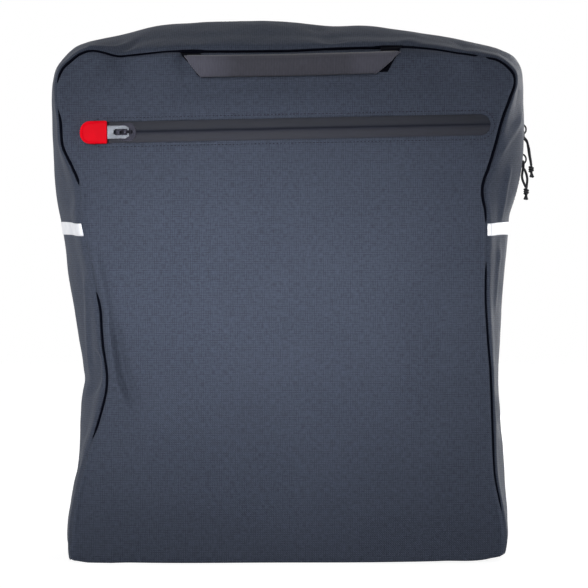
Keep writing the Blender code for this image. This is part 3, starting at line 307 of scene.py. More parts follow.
def mirrored(points):
    """The same run on the other side of the bag."""
    return [(-x, z) for x, z in points]


class Seam:
    """A closed outline in four runs: left and right from the top down, top and base to the right."""

    UPPER, LOWER, TOP, BASE = 70, 130, 170, 150

    def __init__(self, top, left, right, base):
        runs_round = [(left[1][::-1], self.LOWER), (left[0][::-1], self.UPPER), (top, self.TOP),
                      (right[0], self.UPPER), (right[1], self.LOWER), (base[::-1], self.BASE)]
        points = [point for run, _ in runs_round for point in run[:-1]] + [base[0]]
        dense = curve(points, closed=True) * MM
        cut, start = [], 0
        for run, count in runs_round:
            end = start + SPANS * (len(run) - 1)
            cut.append(spaced(dense[start:end + 1], count))
            start = end
        # Once round: up the left side from the foot, over the top, down the right, back along the base
        self.ring = np.vstack([run[:-1] for run in cut] + [cut[-1][-1:]])
        self.left = np.vstack([cut[0][:-1], cut[1]])[::-1]
        self.right = np.vstack([cut[3][:-1], cut[4]])
        self.top, self.base = cut[2], cut[5][::-1]


FRONT = Seam(FRONT_TOP, (FRONT_LEFT_UPPER, FRONT_LEFT_LOWER), (FRONT_RIGHT_UPPER, FRONT_RIGHT_LOWER),
             FRONT_BASE)
MIDDLE = Seam(MIDDLE_TOP, (MIDDLE_LEFT_UPPER, MIDDLE_LEFT_LOWER),
              (MIDDLE_RIGHT_UPPER, MIDDLE_RIGHT_LOWER), MIDDLE_BASE)
BACK = Seam(BACK_TOP, (mirrored(BACK_UPPER), mirrored(BACK_LOWER)), (BACK_UPPER, BACK_LOWER),
            BACK_BASE)

# Places round the ring
AT_LEFT_STRIP = Seam.LOWER
AT_LEFT_TOP = Seam.LOWER + Seam.UPPER
AT_RIGHT_TOP = AT_LEFT_TOP + Seam.TOP
AT_RIGHT_STRIP = AT_RIGHT_TOP + Seam.UPPER
AT_RIGHT_FOOT = AT_RIGHT_STRIP + Seam.LOWER
AT_END = AT_RIGHT_FOOT + Seam.BASE


# Meshes

def linked(name, data):
    """A new object in the scene."""
    obj = bpy.data.objects.new(name, data)
    bpy.context.scene.collection.objects.link(obj)
    return obj


def new_object(name, mesh, finish):
    mesh.shade_smooth()
    mesh.materials.append(finish)
    return linked(name, mesh)


def grid_object(name, points, uv, finish, keep=None, flip=False):
    """A quad grid with points[i, j] and real-sized texture coordinates uv[i, j]."""
    rows, cols = points.shape[:2]
    faces = []
    for i in range(rows - 1):
        for j in range(cols - 1):
            corner = [(i, j), (i, j + 1), (i + 1, j + 1), (i + 1, j)]
            if keep is None or any(keep[c] for c in corner):
                faces.append(corner[::-1] if flip else corner)
    mesh = bpy.data.meshes.new(name)
    mesh.from_pydata(points.reshape(-1, 3).tolist(), [],
                     [[i * cols + j for i, j in face] for face in faces])
    layer = mesh.uv_layers.new(name="UVMap")
    layer.data.foreach_set("uv", np.array([uv[c] for face in faces for c in face], float).ravel())
    bm = bmesh.new()
    bm.from_mesh(mesh)
    bmesh.ops.delete(bm, geom=[v for v in bm.verts if not v.link_faces], context="VERTS")
    bm.to_mesh(mesh)
    bm.free()
    return new_object(name, mesh, finish)


def weld(mesh, distance, sides=None):
    """Join points that lie together, fill holes of up to so many sides (0: all), turn faces out."""
    bm = bmesh.new()
    bm.from_mesh(mesh)
    bmesh.ops.remove_doubles(bm, verts=bm.verts[:], dist=distance)
    if sides is not None:
        bmesh.ops.holes_fill(bm, edges=[e for e in bm.edges if e.is_boundary], sides=sides)
    bmesh.ops.recalc_face_normals(bm, faces=bm.faces[:])
    bm.to_mesh(mesh)
    bm.free()


def dress(obj, body, slot, *nodes):
    """The piece rides on a body and stands for CAD nodes, which it hides; its slot is not used."""
    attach(obj, body)
    if nodes:
        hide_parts(*nodes)
    return obj


def sheet(name, points, uv, finish, thickness, body, slot, *nodes, offset=-1.0, **grid):
    """A grid with a thickness: cloth, tape or webbing."""
    obj = grid_object(name, points, uv, finish, **grid)
    modifier = obj.modifiers.new("Thickness", "SOLIDIFY")
    modifier.thickness, modifier.offset = thickness, offset
    return dress(obj, body, slot, *nodes)


def tube(name, path, radius, finish, sides=10, closed=False):
    """A tube along a path; its texture coordinates are turns round it and metres along it."""
    path = np.array(path, float)
    radius = np.broadcast_to(radius, len(path))
    before, after = 2 * path[:1] - path[1:2], 2 * path[-1:] - path[-2:-1]
    if closed:
        before, after = path[-1:], path[:1]
    along = np.vstack([path[1:], after]) - np.vstack([before, path[:-1]])
    along /= np.linalg.norm(along, axis=1)[:, None]
    normal = np.cross(along[0], TUBE_START)
    angles = [2 * math.pi * k / sides for k in range(sides + 1)]
    rings, uv, run = [], [], 0.0
    for i, spot in enumerate(path):
        normal = normal - along[i] * np.dot(normal, along[i])
        normal /= np.linalg.norm(normal)
        side = np.cross(along[i], normal)
        if i:
            run += np.linalg.norm(spot - path[i - 1])
        rings.append([spot + radius[i] * (math.cos(a) * normal + math.sin(a) * side) for a in angles])
        uv.append([(a / (2 * math.pi), run) for a in angles])
    if closed:
        rings.append(rings[0])
        uv.append([(u, run + np.linalg.norm(path[0] - path[-1])) for u, _ in uv[0]])
    obj = grid_object(name, np.array(rings), np.array(uv), finish)
    weld(obj.data, 1e-7, None if closed else sides)
    return obj


def rough_noise(points, size, seed):
    """Soft noise from about -1 to 1 at each point."""
    shift = Vector((seed * 7.3, seed * 1.9, seed * 4.1))
    return np.array([noise.noise(Vector(p) / size + shift) for p in points.reshape(-1, 3)]
                    ).reshape(points.shape[:-1])


def line_distance(points, line):
    """Signed distance from a polyline and the place along it, 0 to 1; left of its run is positive."""
    line = np.array(line, float)
    run = runs(line)
    best = np.full(points.shape[:-1], 1e9)
    place = np.zeros(points.shape[:-1])
    side = np.ones(points.shape[:-1])
    for i, length in enumerate(np.linalg.norm(np.diff(line, axis=0), axis=1)):
        direction = (line[i + 1] - line[i]) / length
        offset = points - line[i]
        t = np.clip(offset @ direction, 0, length)
        nearest = np.linalg.norm(offset - t[..., None] * direction, axis=-1)
        closer = nearest < best
        cross = direction[0] * offset[..., 1] - direction[1] * offset[..., 0]
        best = np.where(closer, nearest, best)
        place = np.where(closer, (run[i] + t) / run[-1], place)
        side = np.where(closer, np.sign(cross), side)
    return best * side, place


def fold(points, line, height, left, right, fade):
    """A ridge along a line, with its own half width on each side, in mm; it fades at both ends."""
    away, place = line_distance(points, through(line, 24) * MM)
    width = np.where(away > 0, left, right) * MM
    taper = smooth(place / fade[0]) * smooth((1 - place) / fade[1])
    return height * MM * taper * np.exp(-(away / width) ** 2)


# Materials

class Tree:
    """Shorthand for the nodes of a material or of the world."""

    def __init__(self, owner):
        owner.use_nodes = True
        self.nodes, self.links = owner.node_tree.nodes, owner.node_tree.links

    def feed(self, socket, value):
        """Join an output to an input, or give the input a plain value."""
        if isinstance(value, bpy.types.NodeSocket):
            self.links.new(value, socket)
        else:
            socket.default_value = value

    def fill(self, node, **inputs):
        """Feed inputs by their names, with _ for a space."""
        for name, value in inputs.items():
            self.feed(node.inputs[name.replace("_", " ")], value)
        return node

    def add(self, kind, *first, **inputs):
        """A node with its first inputs in their order and others by name."""
        node = self.nodes.new("ShaderNode" + kind)
        for socket, value in zip(node.inputs, first):
            self.feed(socket, value)
        return self.fill(node, **inputs)

    def math(self, operation, *values):
        node = self.add("Math", *values)
        node.operation = operation
        return node.outputs[0]

    def times(self, a, b):
        return self.math("MULTIPLY", a, b)

    def plus(self, total, *parts):
        for part in parts:
            total = self.math("ADD", total, part)
        return total

    def wave(self, run, length):
        """A sine of this wavelength."""
        return self.math("SINE", self.times(run, 2 * math.pi / length))

    def seen_as(self, seen, other):
        """Camera, glossy and transmission rays see the first shader, all other rays the second."""
        rays = self.add("LightPath").outputs
        either = self.math("MAXIMUM", rays["Is Glossy Ray"], rays["Is Transmission Ray"])
        share = self.math("MAXIMUM", rays["Is Camera Ray"], either)
        return self.add("MixShader", share, other.outputs[0], seen.outputs[0]).outputs[0]


class Finish(Tree):
    """A material, built on its Principled BSDF."""

    def __init__(self, name):
        self.material = bpy.data.materials.new(name)
        super().__init__(self.material)
        self.shader = self.nodes["Principled BSDF"]

    def uv(self):
        """Texture coordinates: the vector and its two parts."""
        source = self.add("UVMap")
        source.uv_map = "UVMap"
        split = self.add("SeparateXYZ", source.outputs[0])
        return source.outputs[0], split.outputs[0], split.outputs[1]

    def place(self):
        return self.add("TexCoord").outputs["Object"]

    def stretched(self, vector, scale):
        return self.add("Mapping", Vector=vector, Scale=scale).outputs[0]

    def noise(self, vector, scale, detail=2.0):
        return self.add("TexNoise", Vector=vector, Scale=scale, Detail=detail).outputs["Fac"]

    def grain(self, vector, detail, stretch):
        """Noise with its own scale in each direction."""
        return self.noise(self.stretched(vector, stretch), 1.0, detail)

    def colour(self, value, low, high, dark, light):
        """Colour from dark to light as value goes from low to high."""
        share = self.add("MapRange", Value=value, From_Min=low, From_Max=high)
        blend = self.add("Mix")
        blend.data_type = "RGBA"
        for index, source in ((0, share.outputs[0]), (6, (*dark, 1)), (7, (*light, 1))):
            self.feed(blend.inputs[index], source)
        self.fill(self.shader, Base_Color=blend.outputs[2])

    def rough(self, value, low, high):
        spread = self.add("MapRange", Value=value, To_Min=low, To_Max=high)
        self.fill(self.shader, Roughness=spread.outputs[0])

    def bump(self, height, distance, strength):
        node = self.add("Bump", Height=height, Distance=distance, Strength=strength)
        self.fill(self.shader, Normal=node.outputs[0])

    def set(self, **values):
        self.fill(self.shader, **values)
        return self.material


def linear(*channels):
    return tuple(c / 12.92 if c <= 0.04045 else ((c + 0.055) / 1.055) ** 2.4
                 for c in (channel / 255 for channel in channels))


def scaled(colour, factor):
    return tuple(c * factor for c in colour)


def woven(name, colour, yarn=0.0008, metallic=0.0):
    """Plain weave of slightly uneven, heathered yarns; yarn is the distance between threads."""
    n = Finish(name)
    flat, u, v = n.uv()
    warp, weft = n.wave(u, 2 * yarn), n.wave(v, 2 * yarn)
    weave = n.times(warp, weft)
    slubs = n.plus(n.grain(flat, 1.0, (240, 1 / yarn, 1)), n.grain(flat, 1.0, (1 / yarn, 240, 1)))
    heather = n.times(slubs, 0.5)
    columns = n.times(warp, n.noise(n.stretched(flat, (1.6, 1, 1)), 110.0, 1.0))
    rows = n.times(weft, n.noise(n.stretched(flat, (1, 1.6, 1)), 110.0, 1.0))
    cloud = n.plus(n.noise(n.place(), 30.0), -0.5)
    tone = n.plus(n.times(weave, 0.06), n.times(n.plus(columns, rows), 0.14), heather,
                  n.times(cloud, 0.10))
    n.colour(tone, 0.34, 0.66, scaled(colour, 0.75), scaled(colour, 1.25))
    n.rough(heather, 0.44, 0.58)
    n.bump(n.plus(n.times(weave, 0.5), n.times(heather, 1.2)), 0.00022, 0.7)
    return n.set(Sheen_Weight=0.02, Sheen_Roughness=0.45, Specular_IOR_Level=0.02, Metallic=metallic,
                 Specular_Tint=(0.05, 0.06, 0.09, 1.0))


def ribbed(name, colour, sheen, gloss, end_highlight=0.0):
    """Webbing with fine ribs across its length; its colour is paler towards its ends, a painted
    highlight.
    """
    n = Finish(name)
    flat, u, v = n.uv()
    rib, strand = n.wave(u, 0.0011), n.wave(v, 0.0013)
    grain = n.grain(flat, 3.0, (1100, 260, 1))
    # Painted highlight: the colour grows paler towards both ends of the strap
    left = n.math("MAXIMUM", n.times(n.plus(u, 0.036), -end_highlight / 0.024), 0.0)
    right = n.math("MAXIMUM", n.times(n.plus(u, -0.040), end_highlight / 0.024), 0.0)
    ends = n.plus(n.math("MINIMUM", left, end_highlight), n.math("MINIMUM", right, 0.5 * end_highlight))
    tone = n.plus(n.times(rib, 0.15), grain, ends)
    n.colour(tone, 0.25, 1.9, scaled(colour, 0.78), scaled(colour, 2.1))
    n.rough(grain, 0.6, 0.8)
    n.bump(n.plus(n.times(rib, 0.6), n.times(strand, 0.12)), 0.00025, 0.8)
    return n.set(Sheen_Weight=sheen, Sheen_Roughness=0.4, Specular_IOR_Level=gloss)


def coated(name, colour):
    """Rubbery film over a knitted zip tape: satin, with a faint fabric under it."""
    n = Finish(name)
    flat, u, v = n.uv()
    under = n.times(n.wave(u, 0.0018), n.wave(v, 0.0018))
    wear = n.grain(flat, 4.0, (60, 500, 1))
    n.colour(wear, 0.3, 0.75, scaled(colour, 0.85), scaled(colour, 1.15))
    n.rough(wear, 0.34, 0.54)
    n.bump(n.plus(n.times(under, 0.15), wear), 0.00008, 0.6)
    return n.set(Specular_IOR_Level=0.12)


def reflective(name):
    """Glass-bead tape: pale, even, with a fine cell pattern."""
    n = Finish(name)
    cells = n.add("TexVoronoi", Vector=n.stretched(n.uv()[0], (1500, 1500, 1)), Scale=1.0)
    soil = n.noise(n.place(), 120.0, 3.0)
    n.colour(soil, 0.3, 0.7, linear(217, 219, 226), linear(235, 236, 241))
    n.rough(soil, 0.3, 0.45)
    n.bump(cells.outputs["Distance"], 0.00006, 0.5)
    return n.set(Metallic=0.6, Specular_IOR_Level=0.5)


def moulded(name, colour, rough, grain=900.0, depth=0.00005, **more):
    """Injection-moulded plastic or rubber with a spark-eroded grain."""
    n = Finish(name)
    broad = n.noise(n.place(), 45.0, 3.0)
    n.colour(broad, 0.3, 0.7, scaled(colour, 0.9), scaled(colour, 1.1))
    n.rough(broad, rough - 0.06, rough + 0.08)
    n.bump(n.noise(n.place(), grain), depth, 0.7)
    return n.set(**more)


def plated(name, colour, rough):
    """Plated metal with fine polishing streaks and duller patches."""
    n = Finish(name)
    streaks = n.grain(n.place(), 2.0, (80, 80, 1400))
    patch = n.noise(n.place(), 160.0, 3.0)
    n.colour(patch, 0.3, 0.7, scaled(colour, 0.82), scaled(colour, 1.12))
    n.rough(streaks, rough - 0.08, rough + 0.12)
    n.bump(streaks, 0.00002, 0.5)
    return n.set(Metallic=1.0)


def braided(name, colour, sheen, gloss):
    """Braided cord: two sets of four strands wound against each other."""
    n = Finish(name)
    _, u, v = n.uv()
    turn, climb = n.times(u, 2 * math.pi * 4), n.times(v, 2 * math.pi / 0.0016)
    one, other = n.plus(turn, climb), n.math("SUBTRACT", turn, climb)
    braid = n.times(n.math("SINE", one), n.math("SINE", other))
    fuzz = n.noise(n.place(), 1800.0)
    tone = n.plus(n.times(braid, 0.2), fuzz)
    n.colour(tone, 0.2, 0.9, scaled(colour, 0.6), scaled(colour, 1.5))
    n.rough(fuzz, 0.6, 0.85)
    n.bump(braid, 0.00018, 0.8)
    return n.set(Sheen_Weight=sheen, Sheen_Roughness=0.4, Specular_IOR_Level=gloss)


NAVY = linear(69, 75, 89)
PANEL = woven("panel_weave", scaled(NAVY, 1.02), metallic=0.14)
GUSSET = woven("gusset_weave", NAVY)
LINING = woven("lining_weave", linear(46, 48, 54), yarn=0.0005)
# The strap's paler ends are a painted highlight
WEB = ribbed("handle_ribs", linear(63, 63, 73), 0.2, 0.3, end_highlight=1.2)
# Near-black webbing: painted shade where the handle's folded ends lie in shadow
HANDLE_SHADE_SHEET = ribbed("handle_shade_sheet_ribs", linear(9, 10, 17), 0.0, 0.02)
# The pocket zip's two tapes are one material: the upper copy is coloured darker as painted shade, the
# lower one paler as painted light
SHADED_UPPER_TAPE = coated("upper_zip_tape_shaded", linear(31, 34, 45))
LIT_LOWER_TAPE = coated("lower_zip_tape_lit", linear(43, 45, 56))
MAIN_TAPE = coated("main_zip_film", linear(40, 42, 48))
REFLECT = reflective("reflective_beads")
# Dark navy thread, darker still as painted shade for the pits the stitches sit in
THREAD_AND_SHADE = braided("sewing_thread_and_shade", linear(24, 27, 40), 0.0, 0.1)
# Near-black: painted shade for the shadow deep in the seams' grooves
SEAM_SHADE_CORD = braided("seam_edge_painted_shade", linear(8, 10, 20), 0.0, 0.02)
CORD = braided("pull_cord_braid", linear(26, 27, 34), 0.25, 0.25)
COIL = moulded("zip_coil", linear(20, 21, 24), 0.4)
STEEL = plated("pull_nickel", linear(84, 87, 93), 0.40)
BODY_STEEL = plated("slider_gunmetal", linear(30, 30, 36), 0.36)
BLACK_STEEL = plated("blackened_slider", linear(30, 31, 35), 0.42)
ZINC = plated("screw_zinc", linear(158, 160, 164), 0.32)
RED = moulded("tab_rubber", linear(236, 4, 30), 0.5, 1400.0, 0.00004, Specular_IOR_Level=0.05)
PLASTIC = moulded("fitting_nylon", linear(38, 40, 45), 0.46)
LATCH = moulded("latch_acetal", linear(72, 75, 81), 0.4)
BOARD = moulded("board_sheet", linear(32, 34, 38), 0.5, 500.0, 0.0001)


# Camera, before the pieces that it frames

camera = linked("camera", bpy.data.cameras.new("camera"))
camera.data.sensor_width = 36.0
camera.data.lens = camera.data.sensor_width * CAMERA_AWAY / VIEW_WIDTH
camera.location = (CAMERA_X, -CAMERA_AWAY, CAMERA_Z)
camera.rotation_euler = (math.pi / 2, 0, 0)
bpy.context.scene.camera = camera


# Pull cords of the main zip

def cord_route(strands, slider_z):
    """From the knot up, through the slider's bridge and down to the knot again."""
    down, up = (np.array(strand) for strand in strands)
    bend = [(CORD_OUT, CORD_BEND * math.sin(a), CORD_CREST - CORD_BEND * (1 - math.cos(a)))
            for a in np.linspace(-math.pi / 2, math.pi / 2, 7)]
    return through(np.vstack([down[::-1], bend, up]), 60) + (CORD_X, CORD_Y, slider_z)


def knot_path(centre):
    """Barrel knot: the doubled cord wound round itself."""
    path = []
    for s in np.linspace(0, 1, 24 * KNOT_TURNS):
        angle = 2 * math.pi * KNOT_TURNS * s
        reach = KNOT_REACH * min(1, 6 * s, 6 * (1 - s))
        path.append(centre + (reach * math.cos(angle), reach * math.sin(angle), KNOT_RISE * (0.5 - s)))
    return path


def make_cord(level, strands, slider_z, lean):
    """A loop through the slider's bridge with its knot and tails; leave is where it comes out."""
    route = cord_route(strands, slider_z)
    body = f"main_slider_{level}"
    cord = tube(f"pull_cord_{level}_braid", route, CORD_RADIUS, CORD, 12)
    dress(cord, body, "cordage", f"pull_cord_{level}")
    centre = (route[0] + route[-1]) / 2 - (0, 0, KNOT_DROP)
    knot = tube(f"cord_knot_{level}_wrap", knot_path(centre), CORD_RADIUS * 0.92, CORD)
    dress(knot, body, "cordage", f"cord_knot_{level}")
    for side, word in ((-1, "left"), (1, "right")):
        root = centre + (0, side * 0.0006, -0.0016)
        tail = [root, root + (side * 0.0004 + lean, side * 0.0008, -0.0022),
                root + (side * 0.0011 + lean * 1.6, side * 0.0014, -0.0043)]
        piece = tube(f"cord_tail_{level}_{word}", through(tail, 8),
                     np.linspace(CORD_RADIUS * 0.9, CORD_RADIUS * 1.05, 9), CORD)
        dress(piece, body, "cordage")


make_cord("upper", UPPER_CORD, UPPER_SLIDER_Z, 0.0003)
make_cord("lower", LOWER_CORD, LOWER_SLIDER_Z, -0.0002)


# Front panel

BELLY_LINE = curve(BELLY) * MM


def panel_sides(z):
    """X of the front seam on the left and on the right at a height."""
    return [np.interp(-z, -run[:, 1], run[:, 0]) for run in (FRONT.left, FRONT.right)]


def belly(x, z):
    """How far the front panel stands proud of its seam plane."""
    left, right = panel_sides(z)
    share = np.clip((2 * x - left - right) / (right - left), -1, 1)
    # The swell falls off towards both sides, and sooner towards the right one
    side = np.where(share > 0, 1 - np.abs(share) ** 2.6, 1 - np.abs(share) ** 4.0)
    # The load has sunk to the left, and the cloth hangs from the ends of the zip
    level = (z + BELLY_LOW_LEFT * smooth((-0.005 - x) / 0.085) * (1 - smooth((z - 0.17) / 0.10))
             + BELLY_LOW_MIDDLE * smooth(1 - (x / 0.085) ** 2) * smooth((z - 0.19) / 0.06))
    swell = np.interp(level, BELLY_LINE[:, 0], BELLY_LINE[:, 1]) * side
    rise = smooth((z - BROW_LOW) / (BROW_HIGH - BROW_LOW))
    width = smooth((x + 0.112) / 0.034) * smooth((0.142 - x) / 0.040)
    return swell + BROW * rise * width * (1 - 0.9 * smooth((z - BROW_HIGH) / 0.010))


def gape(x, z):
    """Share, 0 to 1, by which the front seam is open at a place on it."""
    left, right = (np.interp(z / MM, *zip(*table)) for table in (GAPE_LEFT, GAPE_RIGHT))
    over = np.interp(x / MM, *zip(*GAPE_TOP))
    return smooth(np.where(x < 0, left, right) * mix(1.0, over, smooth((z - 0.350) / 0.005)))


def groove(z, opened):
    """Depth of the front seam's groove at a height, where the seam gapes by a share."""
    closed = GROOVE_CLOSED * mix(0.25, 1.0, smooth(z / 0.014))
    return mix(closed, GROOVE, opened)


def tilted(x, z, along, up):
    """The place along and up from (x, z) in the tilted plane of zip and handle."""
    c, s = math.cos(TILT), math.sin(TILT)
    return x + along * c - up * s, z + along * s + up * c


def zip_place(x, z):
    """Distances along and across the pocket zip from the middle of its window."""
    c, s = math.cos(TILT), math.sin(TILT)
    return (x - ZIP_X) * c + (z - ZIP_Z) * s, -(x - ZIP_X) * s + (z - ZIP_Z) * c


def window_distance(x, z):
    """Distance outside the edge of the zip window; negative inside it."""
    along, across = zip_place(x, z)
    beyond = np.maximum(np.abs(along) - (ZIP_HALF - ZIP_RADIUS), 0)
    return np.hypot(beyond, across) - ZIP_RADIUS


def panel_y(x, z, detail=True):
    """Y of the front panel's outer face."""
    points = joined(x, z)
    out = belly(x, z)
    edge = np.minimum(np.abs(line_distance(points, FRONT.ring[::2])[0]), 0.02)
    opened = gape(x, z)
    if detail:
        spots = joined(x, 0, z)
        calm = smooth(window_distance(x, z) / 0.012) * smooth(edge / 0.012)
        free = smooth(window_distance(x, z) / 0.006) * smooth(edge / 0.007)
        for height, size, seed in PANEL_NOISE:
            out = out + height * calm * rough_noise(spots, size, seed)
        for line, height, left, right, fade in PANEL_FOLDS:
            out = out + free * fold(points, line, height, left, right, fade)
    out = out - groove(z, opened) * np.clip(1 - edge / GROOVE_WIDTH, 0, 1) ** 2.2
    # Where the seam lies closed, the panel stands up a little beside it
    ridge = np.exp(-((edge - 0.0022) / 0.0014) ** 2)
    out = out + RIDGE * (1 - opened) * smooth((z - 0.01) / 0.02) * ridge
    # Behind the handle the panel falls back from the seam
    behind = smooth((HANDLE_HALF - 0.001 - np.abs(x - HANDLE_X)) / 0.006) * smooth((z - 0.345) / 0.002)
    out = out - HOLLOW * behind * np.clip(1 - edge / HOLLOW_WIDTH, 0, 1) ** 0.8
    return FRONT_Y - out


def eased(count):
    """0 to 1 in steps that are finer near both ends."""
    t = np.linspace(0, 1, count + 1)
    return t - EASE * np.sin(2 * math.pi * t) / (2 * math.pi)


def coons(seam, across, down):
    """Points (x, z) inside a seam: a patch between its four runs."""
    def at(run, t):
        return sampled(run, t * (len(run) - 1))

    top, base = at(seam.top, across)[None], at(seam.base, across)[None]
    left, right = at(seam.left, down)[:, None], at(seam.right, down)[:, None]
    s, t = across[None, :, None], down[:, None, None]
    corners = ((1 - s) * (1 - t) * seam.top[0] + s * (1 - t) * seam.top[-1]
               + (1 - s) * t * seam.base[0] + s * t * seam.base[-1])
    return (1 - t) * top + t * base + (1 - s) * left + s * right - corners


def make_front_panel():
    flat = coons(FRONT, eased(250), eased(280))
    x, z = flat[..., 0], flat[..., 1]
    outside = window_distance(x, z) >= 0.00025
    touching = np.zeros_like(outside)
    for step in ((i, j) for i in (-1, 0, 1) for j in (-1, 0, 1)):
        touching |= np.roll(outside, step, axis=(0, 1))
    # The first points inside the window move out onto its edge
    along, across = zip_place(x, z)
    core = np.clip(along, ZIP_RADIUS - ZIP_HALF, ZIP_HALF - ZIP_RADIUS)
    reach = np.maximum(np.hypot(along - core, across), 1e-6)
    rim_x, rim_z = tilted(ZIP_X, ZIP_Z, core + (along - core) * ZIP_RADIUS / reach,
                          across * ZIP_RADIUS / reach)
    snap = touching & ~outside
    x, z = np.where(snap, rim_x, x), np.where(snap, rim_z, z)
    beyond = window_distance(x, z)
    # The window's rim is pressed down a little, and so is the cloth under the stitches
    rim = np.clip(1 - np.maximum(beyond, 0) / 0.0013, 0, 1) ** 2
    stitched = np.exp(-((beyond - STITCH_OFFSET) / 0.0008) ** 2)
    y = panel_y(x, z) + RIM_DIP * rim + STITCH_DIP * stitched
    sheet("front_panel_cloth", joined(x, y, z), joined(x, z), PANEL, CLOTH, "bag", "panel_fabric",
          "front_panel", keep=outside, flip=True)


make_front_panel()


# Gusset: the cloth that runs round the bag from the front seam to the back seam

def ring_at(seam, u):
    return sampled(seam.ring, u)


def ring_out(u):
    """Unit vector in x and z that points out of the bag."""
    step = ring_at(MIDDLE, np.minimum(u + 1.5, AT_END)) - ring_at(MIDDLE, np.maximum(u - 1.5, 0))
    out = joined(-step[..., 1], step[..., 0])
    return out / np.linalg.norm(out, axis=-1)[..., None]


def ring_run(u):
    """Length along the middle outline up to each place, for texture coordinates."""
    return np.interp(u, np.arange(len(MIDDLE.ring)), runs(MIDDLE.ring))


def arched(t):
    """The first quarter of a sine, from 0 to 1."""
    return np.sin(math.pi / 2 * np.clip(t, 0, 1))


def gusset_folds(points, calm):
    """Noise and folds in the gusset; they keep clear of the main zip and fade where calm is 0."""
    x, y, z = np.moveaxis(points, -1, 0)
    band = (y - FRONT_Y) / DEPTH
    quiet = smooth(np.abs(band - BAND_MIDDLE) / 0.09 - 0.75)
    out = sum(height * rough_noise(points, size, seed) for height, size, seed in GUSSET_NOISE)
    for side, line, height, left, right, fade in SIDE_FOLDS:
        there = np.sign(x) == side
        out = out + there * (z < 0.36) * fold(joined(y, z), line, height, left, right, fade)
    over = smooth((z - 0.335) / 0.02)
    for line, height, left, right, fade in TOP_FOLDS:
        out = out + over * fold(joined(x, y), line, height, left, right, fade)
    return out * calm * mix(1.0, quiet, smooth((z - STRIP_Z + 0.02) / 0.02))


def gusset(u, t, lift=0.0, detail=True):
    """Points of the gusset: u is the place round the ring, t the share of the way to the back."""
    u, t = np.broadcast_arrays(np.asarray(u, float), np.asarray(t, float))
    front, middle, back = (ring_at(seam, u) for seam in (FRONT, MIDDLE, BACK))
    out = ring_out(u)
    edge = FRONT_Y - belly(front[..., 0], front[..., 1])
    rise, fall = arched(t / BAND_FRONT)[..., None], arched((1 - t) / (1 - BAND_BACK))[..., None]
    spot = np.where((t < BAND_MIDDLE)[..., None], mix(front, middle, rise), mix(back, middle, fall))
    dive = groove(front[..., 1], gape(front[..., 0], front[..., 1]))
    y = (mix(edge, BACK_Y, t) + dive * np.clip(1 - t / LIP, 0, 1) ** 2
         - GROOVE * np.clip(1 - (1 - t) / LIP, 0, 1) ** 2)
    lips = smooth(t / LIP * 0.8) + smooth((1 - t) / LIP * 0.8) - 1
    roll = LIP_ROLL * lips * mix(-0.6, 1.0, smooth((np.abs(t - 0.5) - 0.30) / 0.16))
    on_base = smooth((0.012 - spot[..., 1]) / 0.008) * (np.abs(out[..., 1]) > 0.7)
    shift = roll * (1 - on_base) + lift
    if detail:
        calm = smooth(np.minimum(t, 1 - t) / (2 * LIP))
        shift = shift + gusset_folds(joined(spot[..., 0], y, spot[..., 1]), calm) * (1 - on_base)
    spot = spot + out * shift[..., None]
    # Where it folds over at the back seam the cloth's thickness lies below it
    lowest = CLOTH * smooth((t - 1 + LIP) / (0.5 * LIP))
    return joined(spot[..., 0], y, np.maximum(spot[..., 1], lowest))


def depth_steps(low, high, count):
    """Shares of the depth, finer near the front and back seams."""
    t = np.linspace(0, 1, count + 1)
    fine_low, fine_high = FINER * (low == 0), FINER * (high == 1)
    warped = t - fine_low * t * (1 - t) ** 2 + fine_high * t ** 2 * (1 - t)
    return low + (high - low) * warped


def gusset_piece(name, us, ts, finish, slot, node, lift=0.0, thickness=CLOTH, detail=True, rise=0.0):
    """A piece that follows the gusset; with a rise it climbs by so many places towards the zip."""
    u, t = np.meshgrid(us, ts, indexing="ij")
    u = u + rise * arched(t / BAND_FRONT)
    sheet(name, gusset(u, t, lift, detail), joined(ring_run(u), t * DEPTH), finish, thickness, "bag",
          slot, node, flip=True)


def steps_between(start, end, per_place=2):
    """Places round the ring, so many steps from each one to the next."""
    return np.linspace(start, end, per_place * (end - start) + 1)


ARCH = steps_between(AT_LEFT_STRIP, AT_RIGHT_STRIP)
for name, us, ts, node in (
        ("upper_front_cloth", ARCH, depth_steps(0, BAND_FRONT, 60), "upper_gusset_front"),
        ("upper_back_cloth", ARCH, depth_steps(BAND_BACK, 1, 34), "upper_gusset_back"),
        ("left_side_cloth", steps_between(0, AT_LEFT_STRIP), depth_steps(0, 1, 96),
         "side_gusset_left"),
        ("right_side_cloth", steps_between(AT_RIGHT_STRIP, AT_RIGHT_FOOT), depth_steps(0, 1, 96),
         "side_gusset_right"),
        ("base_cloth", steps_between(AT_RIGHT_FOOT, AT_END, 1), depth_steps(0, 1, 48),
         "base_panel")):
    gusset_piece(name, us, ts, GUSSET, "gusset_fabric", node)


# Back panel

def make_back_panel():
    flat = coons(BACK, eased(120), eased(140))
    x, z = flat[..., 0], flat[..., 1]
    edge = np.abs(line_distance(flat, BACK.ring[::3])[0])
    board = (smooth((BOARD_HALF - np.abs(x)) / 0.004) * smooth((z - BOARD_LOW) / 0.004)
             * smooth((BOARD_HIGH - z) / 0.004))
    y = BACK_Y - 0.0006 * (1 - board) - 0.0004 * (1 - board) * (
        1 + rough_noise(joined(x, 0, z), 0.03, 23))
    y = y - 0.0036 * np.clip(1 - edge / GROOVE_WIDTH, 0, 1) ** 2.4
    sheet("back_panel_cloth", joined(x, y, np.maximum(z, BACK_LOWEST)), flat, PANEL, CLOTH, "bag",
          "panel_fabric", "back_panel")


make_back_panel()


# Seams: the bound allowance is a cord deep in each groove, coloured near-black as painted shade for
# the groove's shadow

